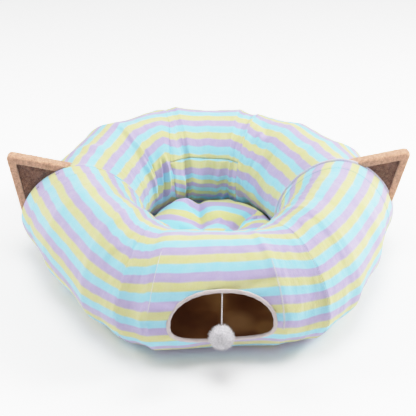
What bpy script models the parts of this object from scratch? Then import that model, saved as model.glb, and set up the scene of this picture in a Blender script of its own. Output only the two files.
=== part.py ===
"""Ring-shaped cat tunnel bed of striped cloth: two half rings joined at left and right, a front
entrance, two plush ears at the joins, a hanging pompom and a tufted mat in the middle. Metres, +Z up,
front towards -Y, and the origin on the floor at the middle of the bed."""

import math
from collections import namedtuple

import bmesh
import bpy
import numpy as np

CLOTH = 0.002  # thickness of the striped cloth
LINING = 0.0012  # thickness of the brown lining
SEAM_GAP = 0.0003  # space that sewn pieces keep between them
AROUND = 32  # points around the tube
SPAN_STEPS = 2  # rows from one hoop or ridge to the next
SAG = 0.004  # how far the cloth sinks between two ridges
FREE_SHARE = 1 / 6  # share of the height over which ridges and sag fade out towards the floor

# The tube's section: a rounded top, a flatter underside and a flat strip on the floor.
TOP_POWER = 1.8
UNDER_POWER = 2.1
BELLY = 0.419  # height of the widest place, as a share of the tube's height
UNDER_CUT = 0.04  # how much of the underside the floor flattens, as a share of the height
SMALL_TURN = 0.01  # step used to read the section's slope
HALVINGS = 28  # rounds of halving used to find a point on the cloth

Station = namedtuple("Station", "azimuth outer inner height")
# A row for each hoop, seam or ridge. Azimuth 0 is the front and it grows towards +X.
STATIONS = (
    Station(-89, 0.444, 0.151, 0.243),
    Station(-66, 0.401, 0.158, 0.243),
    Station(-40, 0.412, 0.159, 0.250),
    Station(-26, 0.436, 0.162, 0.238),
    Station(-16, 0.440, 0.172, 0.239),
    Station(20, 0.439, 0.164, 0.229),
    Station(32, 0.447, 0.163, 0.232),
    Station(46, 0.430, 0.160, 0.246),
    Station(68, 0.407, 0.159, 0.244),
    Station(92, 0.432, 0.157, 0.247),
    Station(116, 0.449, 0.156, 0.232),
    Station(138, 0.429, 0.163, 0.240),
    Station(157, 0.424, 0.160, 0.238),
    Station(166, 0.428, 0.167, 0.240),
    Station(196, 0.439, 0.168, 0.248),
    Station(204, 0.437, 0.165, 0.249),
    Station(232, 0.435, 0.172, 0.252),
    Station(252, 0.421, 0.161, 0.243),
    Station(271, 0.444, 0.151, 0.243),
)
LEFT_RIM, LEFT_SEAM, RIGHT_SEAM, RIGHT_RIM = 0, 3, 6, 9
REAR_RIGHT_SEAM, REAR_LEFT_SEAM, LEFT_RIM_AGAIN = 12, 15, 18

Fold = namedtuple("Fold", "station width lift start end")
# Soft ridges (lift above zero) and troughs across the cloth. Start and end are degrees round the section.
FOLDS = (
    Fold(1.0, 0.50, 0.004, -40, 120),
    Fold(4.0, 0.30, 0.004, -60, 110),
    Fold(5.0, 0.30, 0.004, -60, 110),
    Fold(4.9, 0.45, -0.011, -88, 12),
    Fold(8.2, 0.45, 0.004, -40, 120),
    Fold(13.0, 0.30, 0.003, 40, 170),
    Fold(13.5, 0.20, -0.006, 140, 230),
    Fold(14.0, 0.20, 0.004, 100, 230),
    Fold(14.5, 0.25, -0.007, 130, 230),
    Fold(15.4, 0.25, 0.006, 70, 200),
    Fold(15.8, 0.25, -0.007, 100, 230),
    Fold(16.0, 0.30, 0.005, 60, 200),
)
# Extra rows where the folds and the entrance need them.
ENTRANCE_ROWS = (4.25, 4.75)
REAR_MIDDLE_ROWS = (13.25, 13.75, 14.25)
REAR_LEFT_ROWS = (15.25, 15.75)

# The joins of the two halves.
HEM_WIDTH = 0.042
HEM_RISE = 0.0015
JOIN_BAND_WIDTH = 0.012
JOIN_BAND_DEPTH = 0.001
REAR_DEPTH = 0.002  # how far inside the front half's surface the rear half starts
HEM_STEP = 0.001  # length over which the hem steps down

# The rear middle's inner wall is a panel of its own, from a level seam down to the floor.
WALL_SEAM_STEP = 13
WALL_FOOT_STEP = 22
SEAM_TURN = 0.0013

# The entrance: a low arch with a flattened foot, in the front panel.
ENTRANCE_X = 0.0215
ENTRANCE_WIDTH = 0.209
ENTRANCE_TOP = 0.170
ENTRANCE_FOOT = 0.061
ENTRANCE_WIDEST = 0.110
ENTRANCE_TOP_POWER = 2.4
ENTRANCE_FOOT_POWER = 2.6
ENTRANCE_POINTS = 44
ENTRANCE_PLACE = 4.5  # the entrance's middle, in stations
LOWEST_WALL_TURN = -0.35 * math.pi  # the lowest turn that the front wall is searched from
PLACE_STEP = 0.02
CUTTER_REACH = 0.03
BINDING_WIDTH = 0.008
BINDING_THICKNESS = 0.0066
BINDING_SIDES = 8

# The pompom and its string.
POMPOM_RADIUS = 0.0265
POMPOM_CORE = 0.0165
POMPOM_ROOTS = 86
POMPOM_MIDDLE = (0.020, -0.4465, 0.104)
LOCK_UNEVEN = 0.06  # how much the locks' lengths differ, as a share of the radius
LOCK_TAPER = 0.45  # a lock's end as a share of its root
LOCK_LEAN = 0.0012
STRING_WIDTH = 0.0032
STRING_SAG = 0.0012
STRING_POINTS = 12
STRING_TOP_GAP = 0.0005  # from the binding to the middle of the string's end
STRING_FOOT_DEPTH = 0.0014  # how far the string's end lies inside the locks' tips

# The mat in the middle.
MAT_CLEARANCE = 0.0007
MAT_CROWN = 0.074
MAT_POINTS = 60
EdgeRow = namedtuple("EdgeRow", "inset height")
MAT_EDGE = (
    EdgeRow(0.010, 0.0),
    EdgeRow(0.0, 0.016),
    EdgeRow(0.0, 0.036),
    EdgeRow(0.004, 0.050),
)
MAT_TOP_SHARES = (0.93, 0.84, 0.72, 0.60, 0.48, 0.36, 0.24, 0.12)
NEST_BELLY_HEIGHT = 0.10  # where the nest is narrowest
MAT_TUCK = 0.02  # how far the mat may reach under the wall's belly
LOWEST_NEST_READING = 0.006
Tuft = namedtuple("Tuft", "x y depth channel")
# Channel is the azimuth that the sewn valley runs towards, from the tuft to the mat's edge.
TUFTS = (
    Tuft(-0.021, 0.033, 0.018, 188),
    Tuft(0.063, 0.024, 0.018, 127),
    Tuft(0.066, -0.054, 0.018, 52),
    Tuft(-0.012, -0.082, 0.018, -8),
    Tuft(-0.078, -0.030, 0.018, -72),
)
TUFT_REACH = 0.030
CHANNEL_DEPTH = 0.012
CHANNEL_REACH = 0.012

# The ears, in the plane of each join: distance from the middle of the bed, and height.
EAR_DEPTH = 0.028
EAR_BACK = 0.015
EAR_INNER = 0.004
EAR_BORDER = 0.018
EAR_ROUND = 0.009
EAR_RECESS_ROUND = 0.003
EAR_RECESS_LENGTH = 0.2
EAR_SEAT = 0.0006
EAR_EDGE = 0.0035
EAR_CUTTER_REACH = 0.01
EAR_TIP_STEPS = 4
EAR_FOOT_POINTS = 9
EAR_SEARCH = 20.0  # degrees searched beyond the ear's top edge
Ear = namedtuple("Ear", "name rim towards tip_out tip_up top_turn foot_turn")
# Turns are degrees round the tube's section, where the ear's two edges meet the cloth.
EARS = (
    Ear("left", LEFT_RIM_AGAIN, -1, 0.465, 0.271, 77, 5),
    Ear("right", RIGHT_RIM, 1, 0.462, 0.268, 73, 11),
)

STRIPE_WHITE = (0.74, 0.80, 0.86)
LINING_BROWN = (0.085, 0.045, 0.028)
BINDING_PINK = (0.80, 0.72, 0.70)
PLUSH_TAN = (0.45, 0.26, 0.17)
PLUSH_DARK = (0.12, 0.075, 0.06)
YARN_WHITE = (0.86, 0.86, 0.86)

# The stations are measured from the nest's middle, and this is where the whole bed's middle lies from there.
BED_MIDDLE = (-0.0042, -0.0008)


def clear_scene():
    for thing in list(bpy.data.objects):
        bpy.data.objects.remove(thing, do_unlink=True)


def make_material(name, colour, roughness):
    material = bpy.data.materials.new(name)
    material.use_nodes = True
    shader = material.node_tree.nodes["Principled BSDF"]
    shader.inputs["Base Color"].default_value = (*colour, 1)
    shader.inputs["Roughness"].default_value = roughness
    return material


def add_to_bed(made):
    """Everything hangs on one empty, which stands the bed over the origin."""
    bpy.context.scene.collection.objects.link(made)
    made.parent = bpy.data.objects["bed"]
    return made


def make_object(name, mesh, material):
    made = add_to_bed(bpy.data.objects.new(name, mesh))
    mesh.materials.append(material)
    mesh.shade_smooth()
    mesh.set_sharp_from_angle(angle=math.radians(50))
    return made


def mesh_from(name, points, faces):
    """A mesh with its faces turned outwards."""
    mesh = bpy.data.meshes.new(name)
    mesh.from_pydata([tuple(map(float, point)) for point in points], [], faces)
    shape = bmesh.new()
    shape.from_mesh(mesh)
    bmesh.ops.recalc_face_normals(shape, faces=shape.faces)
    shape.to_mesh(mesh)
    shape.free()
    return mesh


def level_point(azimuth, radius):
    turn = math.radians(azimuth)
    return np.array([math.sin(turn) * radius, -math.cos(turn) * radius])


def blend(first, last, share):
    return first * (1 - share) + last * share


def bow(share):
    """Nothing at both ends and one in the middle."""
    return 4 * share * (1 - share)


def bell(distance, width):
    return math.exp(-((distance / width) ** 2))


def fold_lift(place, turn):
    """How far the folds raise the cloth at a place along the ring and a turn round its section."""
    degrees = math.degrees(turn) % 360
    degrees = degrees - 360 if degrees > 270 else degrees
    lift = 0.0
    for fold in FOLDS:
        middle = (fold.start + fold.end) / 2
        reach = (fold.end - fold.start) / 2
        across = min(1.0, abs(degrees - middle) / reach)
        lift += fold.lift * bell(place - fold.station, fold.width) * math.cos(across * math.pi / 2)
    return lift


def section_shape(turn):
    """Share of the width and share of the height, for a turn round the section from its outer side."""
    across, up = math.cos(turn), math.sin(turn)
    power = 2 / (TOP_POWER if up > 0 else UNDER_POWER)
    wide = (math.copysign(abs(across) ** power, across) + 1) / 2
    if up > 0:
        return wide, BELLY + (1 - BELLY) * up**power
    return wide, BELLY - (BELLY + UNDER_CUT) * abs(up) ** power


def surface_point(place, turn, inset=0.0):
    """A point of the cloth. Place counts stations along the ring, and inset goes into the tube."""
    first = min(int(place), len(STATIONS) - 2)
    share = place - first
    here, there = STATIONS[first], STATIONS[first + 1]
    outer = blend(level_point(here.azimuth, here.outer), level_point(there.azimuth, there.outer), share)
    inner = blend(level_point(here.azimuth, here.inner), level_point(there.azimuth, there.inner), share)
    height = blend(here.height, there.height, share)
    width = float(np.linalg.norm(outer - inner))
    outwards = (outer - inner) / width

    before, after = section_shape(turn - SMALL_TURN), section_shape(turn + SMALL_TURN)
    along = np.array([(after[0] - before[0]) * width, (after[1] - before[1]) * height])
    normal = np.array([along[1], -along[0]]) / np.linalg.norm(along)
    wide, up = section_shape(turn)
    free = min(1.0, max(0.0, up) / FREE_SHARE)
    lift = (fold_lift(place, turn) - SAG * bow(share)) * free
    flat = np.array([wide * width, up * height]) + normal * lift
    if flat[1] <= 0:
        flat[1] = 0.0
        normal = np.array([0.0, -1.0])
    flat = flat - normal * inset
    flat[1] = max(flat[1], min(inset, CLOTH * 2)) if inset > 0 else max(flat[1], 0.0)
    level = inner + outwards * flat[0]
    return np.array([level[0], level[1], flat[1]])


def span_length(place):
    first = min(int(place), len(STATIONS) - 2)
    here, there = STATIONS[first], STATIONS[first + 1]
    run = level_point(there.azimuth, there.outer) - level_point(here.azimuth, here.outer)
    return float(np.linalg.norm(run))


def rows_between(start, end, extra=()):
    """Places from one station to another, the first and last moved in by half a seam's gap."""
    rows = set()
    for station in range(start, end):
        for step in range(SPAN_STEPS):
            rows.add(station + step / SPAN_STEPS)
    rows.update(extra)
    rows.discard(start)
    first = start + SEAM_GAP / 2 / span_length(start)
    last = end - SEAM_GAP / 2 / span_length(end - 0.5)
    return [first, *sorted(rows), last]


def cloth_solid(name, places, turns, closed, outside, inside, material):
    """A sheet of cloth: a grid of points outside, one inside, and walls at its edges."""
    outer = [[surface_point(place, turn, outside(place)) for turn in turns] for place in places]
    inner = [[surface_point(place, turn, inside(place)) for turn in turns] for place in places]
    points = [point for row in outer for point in row] + [point for row in inner for point in row]
    rows, columns = len(places), len(turns)
    back = rows * columns
    faces = []
    for column in range(columns if closed else columns - 1):
        after = (column + 1) % columns
        for row in range(rows - 1):
            a, b = row * columns + column, row * columns + after
            faces.append((a, b, b + columns, a + columns))
            faces.append((back + a, back + a + columns, back + b + columns, back + b))
        for row in (0, rows - 1):
            a, b = row * columns + column, row * columns + after
            faces.append((a, b, back + b, back + a))
    if not closed:
        for column in (0, columns - 1):
            for row in range(rows - 1):
                a = row * columns + column
                faces.append((a, a + columns, back + a + columns, back + a))
    return make_object(name, mesh_from(name, points, faces), material)


def all_turns():
    return [2 * math.pi * step / AROUND for step in range(AROUND)]


def hem_outside(place):
    """The front half's cloth is turned back into a raised hem at both rims."""
    left = (place - LEFT_RIM) * span_length(LEFT_RIM)
    right = (RIGHT_RIM - place) * span_length(RIGHT_RIM - 1)
    return -HEM_RISE if min(left, right) < HEM_WIDTH - HEM_STEP / 2 else 0.0


def cloth_inside(_place):
    return CLOTH


def lining_outside(_place):
    return CLOTH + SEAM_GAP


def lining_inside(_place):
    return CLOTH + SEAM_GAP + LINING


def rear_outside(place):
    """The rear half starts inside the front half's rims and comes out to full size within a span."""
    nearest = min(place - RIGHT_RIM, LEFT_RIM_AGAIN - place)
    return REAR_DEPTH * max(0.0, 1 - nearest)


def rear_inside(place):
    return rear_outside(place) + CLOTH


def entrance_outline():
    """Turns of the entrance's edge: sideways and up from its middle."""
    edge = []
    for step in range(ENTRANCE_POINTS):
        turn = 2 * math.pi * step / ENTRANCE_POINTS
        across, up = math.cos(turn), math.sin(turn)
        power = 2 / (ENTRANCE_TOP_POWER if up > 0 else ENTRANCE_FOOT_POWER)
        reach = ENTRANCE_TOP - ENTRANCE_WIDEST if up > 0 else ENTRANCE_WIDEST - ENTRANCE_FOOT
        x = ENTRANCE_X + math.copysign(abs(across) ** power, across) * ENTRANCE_WIDTH / 2
        z = ENTRANCE_WIDEST + math.copysign(abs(up) ** power, up) * reach
        edge.append((x, z))
    return edge


def turn_at_height(place, z, inset):
    """The turn at which the outer wall reaches this height."""
    low, high = LOWEST_WALL_TURN, math.pi / 2
    for _ in range(HALVINGS):
        turn = (low + high) / 2
        if surface_point(place, turn, inset)[2] < z:
            low = turn
        else:
            high = turn
    return turn


def front_wall_at(x, z, inset):
    """The point of the front wall at this x and height, and the wall's normal there."""
    place = ENTRANCE_PLACE
    for _ in range(6):
        turn = turn_at_height(place, z, inset)
        found = surface_point(place, turn, inset)
        ahead = surface_point(place + PLACE_STEP, turn, inset)
        place += PLACE_STEP * (x - found[0]) / (ahead[0] - found[0])
    left, right = (surface_point(place + step, turn, inset) for step in (-PLACE_STEP, PLACE_STEP))
    below, above = (surface_point(place, turn + step, inset) for step in (-SMALL_TURN, SMALL_TURN))
    normal = np.cross(right - left, above - below)
    return surface_point(place, turn, inset), normal / np.linalg.norm(normal)


def binding_path():
    """Middle line of the binding, each point with the wall's normal and the way out of the entrance."""
    middle = (CLOTH + SEAM_GAP + LINING) / 2
    found = [front_wall_at(x, z, middle) for x, z in entrance_outline()]
    path = []
    for index, (point, normal) in enumerate(found):
        along = found[(index + 1) % len(found)][0] - found[index - 1][0]
        away = np.cross(along, normal)
        path.append((point, normal, away / np.linalg.norm(away)))
    return path


def make_binding(material):
    points = []
    for point, normal, away in binding_path():
        for side in range(BINDING_SIDES):
            turn = 2 * math.pi * (side + 0.5) / BINDING_SIDES
            across = math.cos(turn) * BINDING_WIDTH / 2
            through = math.sin(turn) * BINDING_THICKNESS / 2
            points.append(point + away * across + normal * through)
    faces = []
    for index in range(ENTRANCE_POINTS):
        for side in range(BINDING_SIDES):
            here = index * BINDING_SIDES
            there = (index + 1) % ENTRANCE_POINTS * BINDING_SIDES
            after = (side + 1) % BINDING_SIDES
            faces.append((here + side, there + side, there + after, here + after))
    return make_object("entrance_binding", mesh_from("entrance_binding", points, faces), material)


def entrance_cutter():
    """A plug through the front wall, one gap larger than the binding."""
    spread = BINDING_WIDTH / 2 + SEAM_GAP
    path = binding_path()
    outside = [point + away * spread + normal * CUTTER_REACH for point, normal, away in path]
    inside = [point + away * spread - normal * CUTTER_REACH for point, normal, away in path]
    count = len(path)
    nose = sum(outside) / count + np.array([0, -CUTTER_REACH, 0])
    points = [*outside, *inside, nose, sum(inside) / count]
    faces = []
    for index in range(count):
        after = (index + 1) % count
        faces.append((index, after, count + after, count + index))
        faces.append((index, after, 2 * count))
        faces.append((count + index, count + after, 2 * count + 1))
    mesh = mesh_from("entrance_cutter", points, faces)
    return hide_cutter(add_to_bed(bpy.data.objects.new("entrance_cutter", mesh)))


def hide_cutter(cutter):
    cutter.hide_render = True
    cutter.display_type = "WIRE"
    return cutter


def cut_with(target, cutter, name):
    cut = target.modifiers.new(name, "BOOLEAN")
    cut.operation = "DIFFERENCE"
    cut.object = cutter


def make_front_half(stripes, brown, cutter):
    hem_left = HEM_WIDTH / span_length(LEFT_RIM)
    hem_right = RIGHT_RIM - HEM_WIDTH / span_length(RIGHT_RIM - 1)
    step_left = (HEM_WIDTH - HEM_STEP) / span_length(LEFT_RIM)
    step_right = RIGHT_RIM - (HEM_WIDTH - HEM_STEP) / span_length(RIGHT_RIM - 1)
    turns = all_turns()
    panels = (
        ("front_left_panel", LEFT_RIM, LEFT_SEAM, (step_left, hem_left)),
        ("front_centre_panel", LEFT_SEAM, RIGHT_SEAM, ENTRANCE_ROWS),
        ("front_right_panel", RIGHT_SEAM, RIGHT_RIM, (hem_right, step_right)),
    )
    shared_rows = []
    for name, start, end, extra in panels:
        shared_rows += [*extra, end]
        places = rows_between(start, end, extra)
        panel = cloth_solid(name, places, turns, True, hem_outside, cloth_inside, stripes)
        if name == "front_centre_panel":
            cut_with(panel, cutter, "entrance")
    shared_rows.remove(RIGHT_RIM)
    places = rows_between(LEFT_RIM, RIGHT_RIM, shared_rows)
    lining = cloth_solid("tunnel_lining", places, turns, True, lining_outside, lining_inside, brown)
    cut_with(lining, cutter, "entrance")


def make_rear_half(stripes):
    turns = all_turns()
    band = JOIN_BAND_WIDTH / span_length(RIGHT_RIM)
    band_again = JOIN_BAND_WIDTH / span_length(LEFT_RIM_AGAIN - 1)
    gap = SEAM_GAP / 2 / span_length(RIGHT_RIM)
    right_start = RIGHT_RIM + band
    left_end = LEFT_RIM_AGAIN - band_again

    def band_outside(_place):
        return JOIN_BAND_DEPTH

    def band_inside(_place):
        return JOIN_BAND_DEPTH + CLOTH

    right_band = [RIGHT_RIM + gap, right_start - gap]
    left_band = [left_end + gap, LEFT_RIM_AGAIN - gap]
    cloth_solid("right_join_band", right_band, turns, True, band_outside, band_inside, stripes)
    cloth_solid("left_join_band", left_band, turns, True, band_outside, band_inside, stripes)

    right_rows = [right_start + gap, *rows_between(RIGHT_RIM, REAR_RIGHT_SEAM)[1:]]
    left_rows = [*rows_between(REAR_LEFT_SEAM, LEFT_RIM_AGAIN, REAR_LEFT_ROWS)[:-1], left_end - gap]
    middle_rows = rows_between(REAR_RIGHT_SEAM, REAR_LEFT_SEAM, REAR_MIDDLE_ROWS)
    cloth_solid("rear_right_panel", right_rows, turns, True, rear_outside, rear_inside, stripes)
    cloth_solid("rear_left_panel", left_rows, turns, True, rear_outside, rear_inside, stripes)

    step = 2 * math.pi / AROUND
    wall_turns = [index * step for index in range(WALL_SEAM_STEP, WALL_FOOT_STEP + 1)]
    wall_turns[0] += SEAM_TURN
    wall_turns[-1] -= SEAM_TURN
    top_turns = [index * step for index in range(WALL_FOOT_STEP - AROUND, WALL_SEAM_STEP + 1)]
    top_turns[0] += SEAM_TURN
    top_turns[-1] -= SEAM_TURN
    cloth_solid("rear_centre_panel", middle_rows, top_turns, False, rear_outside, rear_inside, stripes)
    cloth_solid("rear_inner_wall_panel", middle_rows, wall_turns, False, rear_outside, rear_inside, stripes)


def nest_radius(azimuth, height):
    """How far the cloth of the nest's wall is from the middle, at this azimuth and height."""
    start = STATIONS[0].azimuth
    azimuth = (azimuth - start) % 360 + start
    for first in range(len(STATIONS) - 1):
        if STATIONS[first].azimuth <= azimuth <= STATIONS[first + 1].azimuth:
            break
    here, there = STATIONS[first], STATIONS[first + 1]
    place = first + (azimuth - here.azimuth) / (there.azimuth - here.azimuth)
    low, high = math.pi, math.pi * 1.5
    for _ in range(HALVINGS):
        turn = (low + high) / 2
        if surface_point(place, turn)[2] > height:
            low = turn
        else:
            high = turn
    point = surface_point(place, turn)
    return math.hypot(point[0], point[1])


def mat_dent(x, y):
    """How far the tufts and their sewn valleys pull the mat's top down."""
    dent = 0.0
    for tuft in TUFTS:
        away = math.hypot(x - tuft.x, y - tuft.y)
        dent = max(dent, tuft.depth * bell(away, TUFT_REACH))
        along = level_point(tuft.channel, 1.0)
        run = (x - tuft.x) * along[0] + (y - tuft.y) * along[1]
        aside = abs((x - tuft.x) * along[1] - (y - tuft.y) * along[0])
        if run > 0:
            dent = max(dent, CHANNEL_DEPTH * bell(aside, CHANNEL_REACH))
    return dent


def make_mat(stripes):
    """One filled cushion that follows the nest's wall, rounded at its edge and tufted on top."""
    azimuths = [360 * step / MAT_POINTS for step in range(MAT_POINTS)]
    points = []
    for inset, height in MAT_EDGE:
        for azimuth in azimuths:
            wall = nest_radius(azimuth, max(height, LOWEST_NEST_READING))
            widest = nest_radius(azimuth, NEST_BELLY_HEIGHT) + MAT_TUCK
            radius = min(wall, widest) - MAT_CLEARANCE - inset
            points.append((*level_point(azimuth, radius), height))
    shoulder = MAT_EDGE[-1].height
    for share in MAT_TOP_SHARES:
        rise = math.sqrt(1 - share**4)
        for azimuth in azimuths:
            radius = (nest_radius(azimuth, MAT_CROWN) - MAT_CLEARANCE) * share
            x, y = level_point(azimuth, radius)
            points.append((x, y, blend(shoulder, MAT_CROWN, rise) - mat_dent(x, y) * rise))
    rings = len(MAT_EDGE) + len(MAT_TOP_SHARES)
    points.append((0.0, 0.0, MAT_CROWN - mat_dent(0.0, 0.0)))
    faces = [tuple(range(MAT_POINTS))]
    for ring in range(rings - 1):
        for step in range(MAT_POINTS):
            after = (step + 1) % MAT_POINTS
            here, there = ring * MAT_POINTS, (ring + 1) * MAT_POINTS
            faces.append((here + step, here + after, there + after, there + step))
    last = (rings - 1) * MAT_POINTS
    for step in range(MAT_POINTS):
        faces.append((last + step, last + (step + 1) % MAT_POINTS, len(points) - 1))
    return make_object("nest_mat", mesh_from("nest_mat", points, faces), stripes)


def ball_directions(count):
    """Directions spread evenly over a ball."""
    golden = math.pi * (3 - math.sqrt(5))
    found = []
    for index in range(count):
        z = 1 - 2 * (index + 0.5) / count
        flat = math.sqrt(1 - z * z)
        found.append(np.array([math.cos(golden * index) * flat, math.sin(golden * index) * flat, z]))
    return found


def make_pompom(yarn):
    """Locks of three sides that stand on a core and meet only at their roots."""
    shape = bmesh.new()
    for direction in ball_directions(POMPOM_ROOTS):
        shape.verts.new(direction * POMPOM_CORE)
    bmesh.ops.convex_hull(shape, input=shape.verts)
    bmesh.ops.triangulate(shape, faces=shape.faces)
    shape.verts.ensure_lookup_table()
    points = [np.array(vertex.co) for vertex in shape.verts]
    roots = [[vertex.index for vertex in face.verts] for face in shape.faces]
    shape.free()
    faces = []
    for number, root in enumerate(roots):
        centre = sum(points[index] for index in root) / 3
        direction = centre / np.linalg.norm(centre)
        length = POMPOM_RADIUS * (1 - LOCK_UNEVEN * (1 - math.sin(number * 2.4)))
        lean = np.cross(direction, np.array([0.3, 0.2, 1.0])) * LOCK_LEAN * math.sin(number * 1.7)
        first = len(points)
        for index in root:
            points.append(direction * length + (points[index] - centre) * LOCK_TAPER + lean)
        for side in range(3):
            after = (side + 1) % 3
            faces.append((root[side], root[after], first + after, first + side))
        faces.append((first, first + 1, first + 2))
    mesh = mesh_from("pompom", [point + np.array(POMPOM_MIDDLE) for point in points], faces)
    return make_object("pompom", mesh, yarn)


def make_string(yarn):
    """The string hangs from the binding's inner edge at the top of the entrance and ends at the pompom."""
    top, _, away = binding_path()[ENTRANCE_POINTS // 4]
    binding_face = BINDING_WIDTH / 2 * math.cos(math.pi / BINDING_SIDES)
    start = top - away * (binding_face + STRING_TOP_GAP)
    middle = np.array(POMPOM_MIDDLE)
    towards = (start - middle) / np.linalg.norm(start - middle)
    end = middle + towards * (POMPOM_RADIUS - STRING_FOOT_DEPTH)
    curve = bpy.data.curves.new("pompom_string", "CURVE")
    curve.dimensions = "3D"
    curve.bevel_depth = STRING_WIDTH / 2
    curve.bevel_resolution = 2
    curve.use_fill_caps = True
    spline = curve.splines.new("POLY")
    spline.points.add(STRING_POINTS - 1)
    for index in range(STRING_POINTS):
        share = index / (STRING_POINTS - 1)
        spot = blend(start, end, share)
        spot[2] -= STRING_SAG * bow(share)
        spline.points[index].co = (*spot, 1)
    curve.materials.append(yarn)
    return add_to_bed(bpy.data.objects.new("pompom_string", curve))


def ear_axes(ear):
    """The level ways outwards in the plane of the rim, and straight behind it."""
    out = level_point(STATIONS[ear.rim].azimuth, 1.0)
    return out, np.array([-out[1], out[0]]) * ear.towards


def cloth_spot(ear, degrees, depth=0.0):
    """A spot just over the cloth, this far behind the rim: distance from the middle of the bed, and height."""
    turn = math.radians(degrees)
    out, behind = ear_axes(ear)
    place, step = ear.rim, ear.towards * PLACE_STEP
    for _ in range(4):
        point, ahead = (surface_point(spot, turn, -EAR_SEAT) for spot in (place, place + step))
        run = ahead[:2] @ behind - point[:2] @ behind
        place += step * (depth - point[:2] @ behind) / run
    point = surface_point(place, turn, -EAR_SEAT)
    return np.array([point[:2] @ out, point[2]])


def ear_corner(ear, inset, rounding):
    """The tip of the ear's edge moved in by an inset: its point, its two directions and the rounded tip."""
    tip = np.array([ear.tip_out, ear.tip_up])
    to_foot = cloth_spot(ear, ear.foot_turn) - tip
    to_top = cloth_spot(ear, ear.top_turn) - tip
    to_foot /= np.linalg.norm(to_foot)
    to_top /= np.linalg.norm(to_top)
    half = math.acos(float(to_foot @ to_top)) / 2
    middle = (to_foot + to_top) / np.linalg.norm(to_foot + to_top)
    corner = tip + middle * inset / math.sin(half)
    centre = corner + middle * rounding / math.sin(half)
    first = np.array([-to_foot[1], to_foot[0]])
    last = np.array([to_top[1], -to_top[0]])
    rounded = []
    for step in range(EAR_TIP_STEPS + 1):
        way = blend(first, last, step / EAR_TIP_STEPS)
        rounded.append(centre + way / np.linalg.norm(way) * rounding)
    return corner, to_foot, to_top, rounded


def meets_cloth(ear, start, direction, depth):
    """Where a line beside the ear's plane meets the cloth, in degrees round the section."""
    low, high = ear.foot_turn, ear.top_turn + EAR_SEARCH
    side = math.copysign(1.0, np.cross(direction, cloth_spot(ear, high, depth) - start))
    for _ in range(HALVINGS):
        degrees = (low + high) / 2
        if np.cross(direction, cloth_spot(ear, degrees, depth) - start) * side > 0:
            high = degrees
        else:
            low = degrees
    return degrees


def ear_ring(ear, inset, rounding, depth):
    """Along the cloth from the ear's top edge to its foot, then round its tip, this far behind the rim."""
    corner, to_foot, to_top, rounded = ear_corner(ear, inset, rounding)
    top, foot = (meets_cloth(ear, corner, way, depth) for way in (to_top, to_foot))
    shares = [step / (EAR_FOOT_POINTS - 1) for step in range(EAR_FOOT_POINTS)]
    along_cloth = (cloth_spot(ear, blend(top, foot, share), depth) for share in shares)
    return [place_ear_point(ear, spot, depth) for spot in (*along_cloth, *rounded)]


def recess_outline(ear):
    """The recess runs out over the ear's base, so its outline goes on well past the cloth."""
    corner, to_foot, to_top, rounded = ear_corner(ear, EAR_BORDER, EAR_RECESS_ROUND)
    return [corner + to_top * EAR_RECESS_LENGTH, corner + to_foot * EAR_RECESS_LENGTH, *rounded]


def place_ear_point(ear, spot, depth):
    """From distance, height and depth behind the rim to the bed's own axes."""
    out, behind = ear_axes(ear)
    flat = out * spot[0] + behind * depth
    return np.array([flat[0], flat[1], spot[1]])


def ring_solid(name, rings, material):
    """A closed body from rings of equal counts, with a face over each end."""
    count = len(rings[0])
    points = [point for ring in rings for point in ring]
    faces = [tuple(range(count)), tuple(range((len(rings) - 1) * count, len(rings) * count))]
    for ring in range(len(rings) - 1):
        for step in range(count):
            after = (step + 1) % count
            here, there = ring * count, (ring + 1) * count
            faces.append((here + step, here + after, there + after, there + step))
    return make_object(name, mesh_from(name, points, faces), material)


def make_ear(ear, tan, dark):
    """A thick plush ear with a recess in front, and the dark panel that lies in it."""
    profile = (
        (EAR_EDGE, 0.0),
        (EAR_EDGE * 0.3, EAR_EDGE * 0.3),
        (0.0, EAR_EDGE),
        (0.0, EAR_DEPTH - EAR_EDGE * 1.6),
        (EAR_EDGE * 0.5, EAR_DEPTH - EAR_EDGE * 0.5),
        (EAR_EDGE * 1.6, EAR_DEPTH),
    )
    rings = [ear_ring(ear, inset, EAR_ROUND, SEAM_GAP + depth) for inset, depth in profile]
    shell = ring_solid(f"{ear.name}_ear_shell", rings, tan)

    floor = SEAM_GAP + EAR_DEPTH - EAR_BACK
    outline = recess_outline(ear)
    depths = (-EAR_CUTTER_REACH, floor)
    rings = [[place_ear_point(ear, spot, depth) for spot in outline] for depth in depths]
    cut_with(shell, hide_cutter(ring_solid(f"{ear.name}_ear_cutter", rings, tan)), "recess")

    depths = (floor - SEAM_GAP - EAR_INNER, floor - SEAM_GAP)
    rings = [ear_ring(ear, EAR_BORDER + SEAM_GAP, EAR_RECESS_ROUND, depth) for depth in depths]
    ring_solid(f"{ear.name}_ear_inner", rings, dark)


def main():
    clear_scene()
    bed = bpy.data.objects.new("bed", None)
    bpy.context.scene.collection.objects.link(bed)
    bed.location = (-BED_MIDDLE[0], -BED_MIDDLE[1], 0)
    stripes = make_material("striped_cotton", STRIPE_WHITE, 0.9)
    brown = make_material("brown_lining", LINING_BROWN, 0.55)
    pink = make_material("binding_tape", BINDING_PINK, 0.8)
    tan = make_material("tan_plush", PLUSH_TAN, 0.95)
    dark = make_material("dark_plush", PLUSH_DARK, 0.95)
    yarn = make_material("white_yarn", YARN_WHITE, 0.95)
    cutter = entrance_cutter()
    make_front_half(stripes, brown, cutter)
    make_rear_half(stripes)
    make_binding(pink)
    make_mat(stripes)
    make_pompom(yarn)
    make_string(yarn)
    for ear in EARS:
        make_ear(ear, tan, dark)


main()
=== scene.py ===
"""Looks of the ring-shaped cat tunnel bed: striped cloth panels with hems and seams, the brown lining, the
bound entrance, the pompom on its string, plush ears and the tufted mat. Metres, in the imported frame."""

import math
from collections import namedtuple

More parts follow.
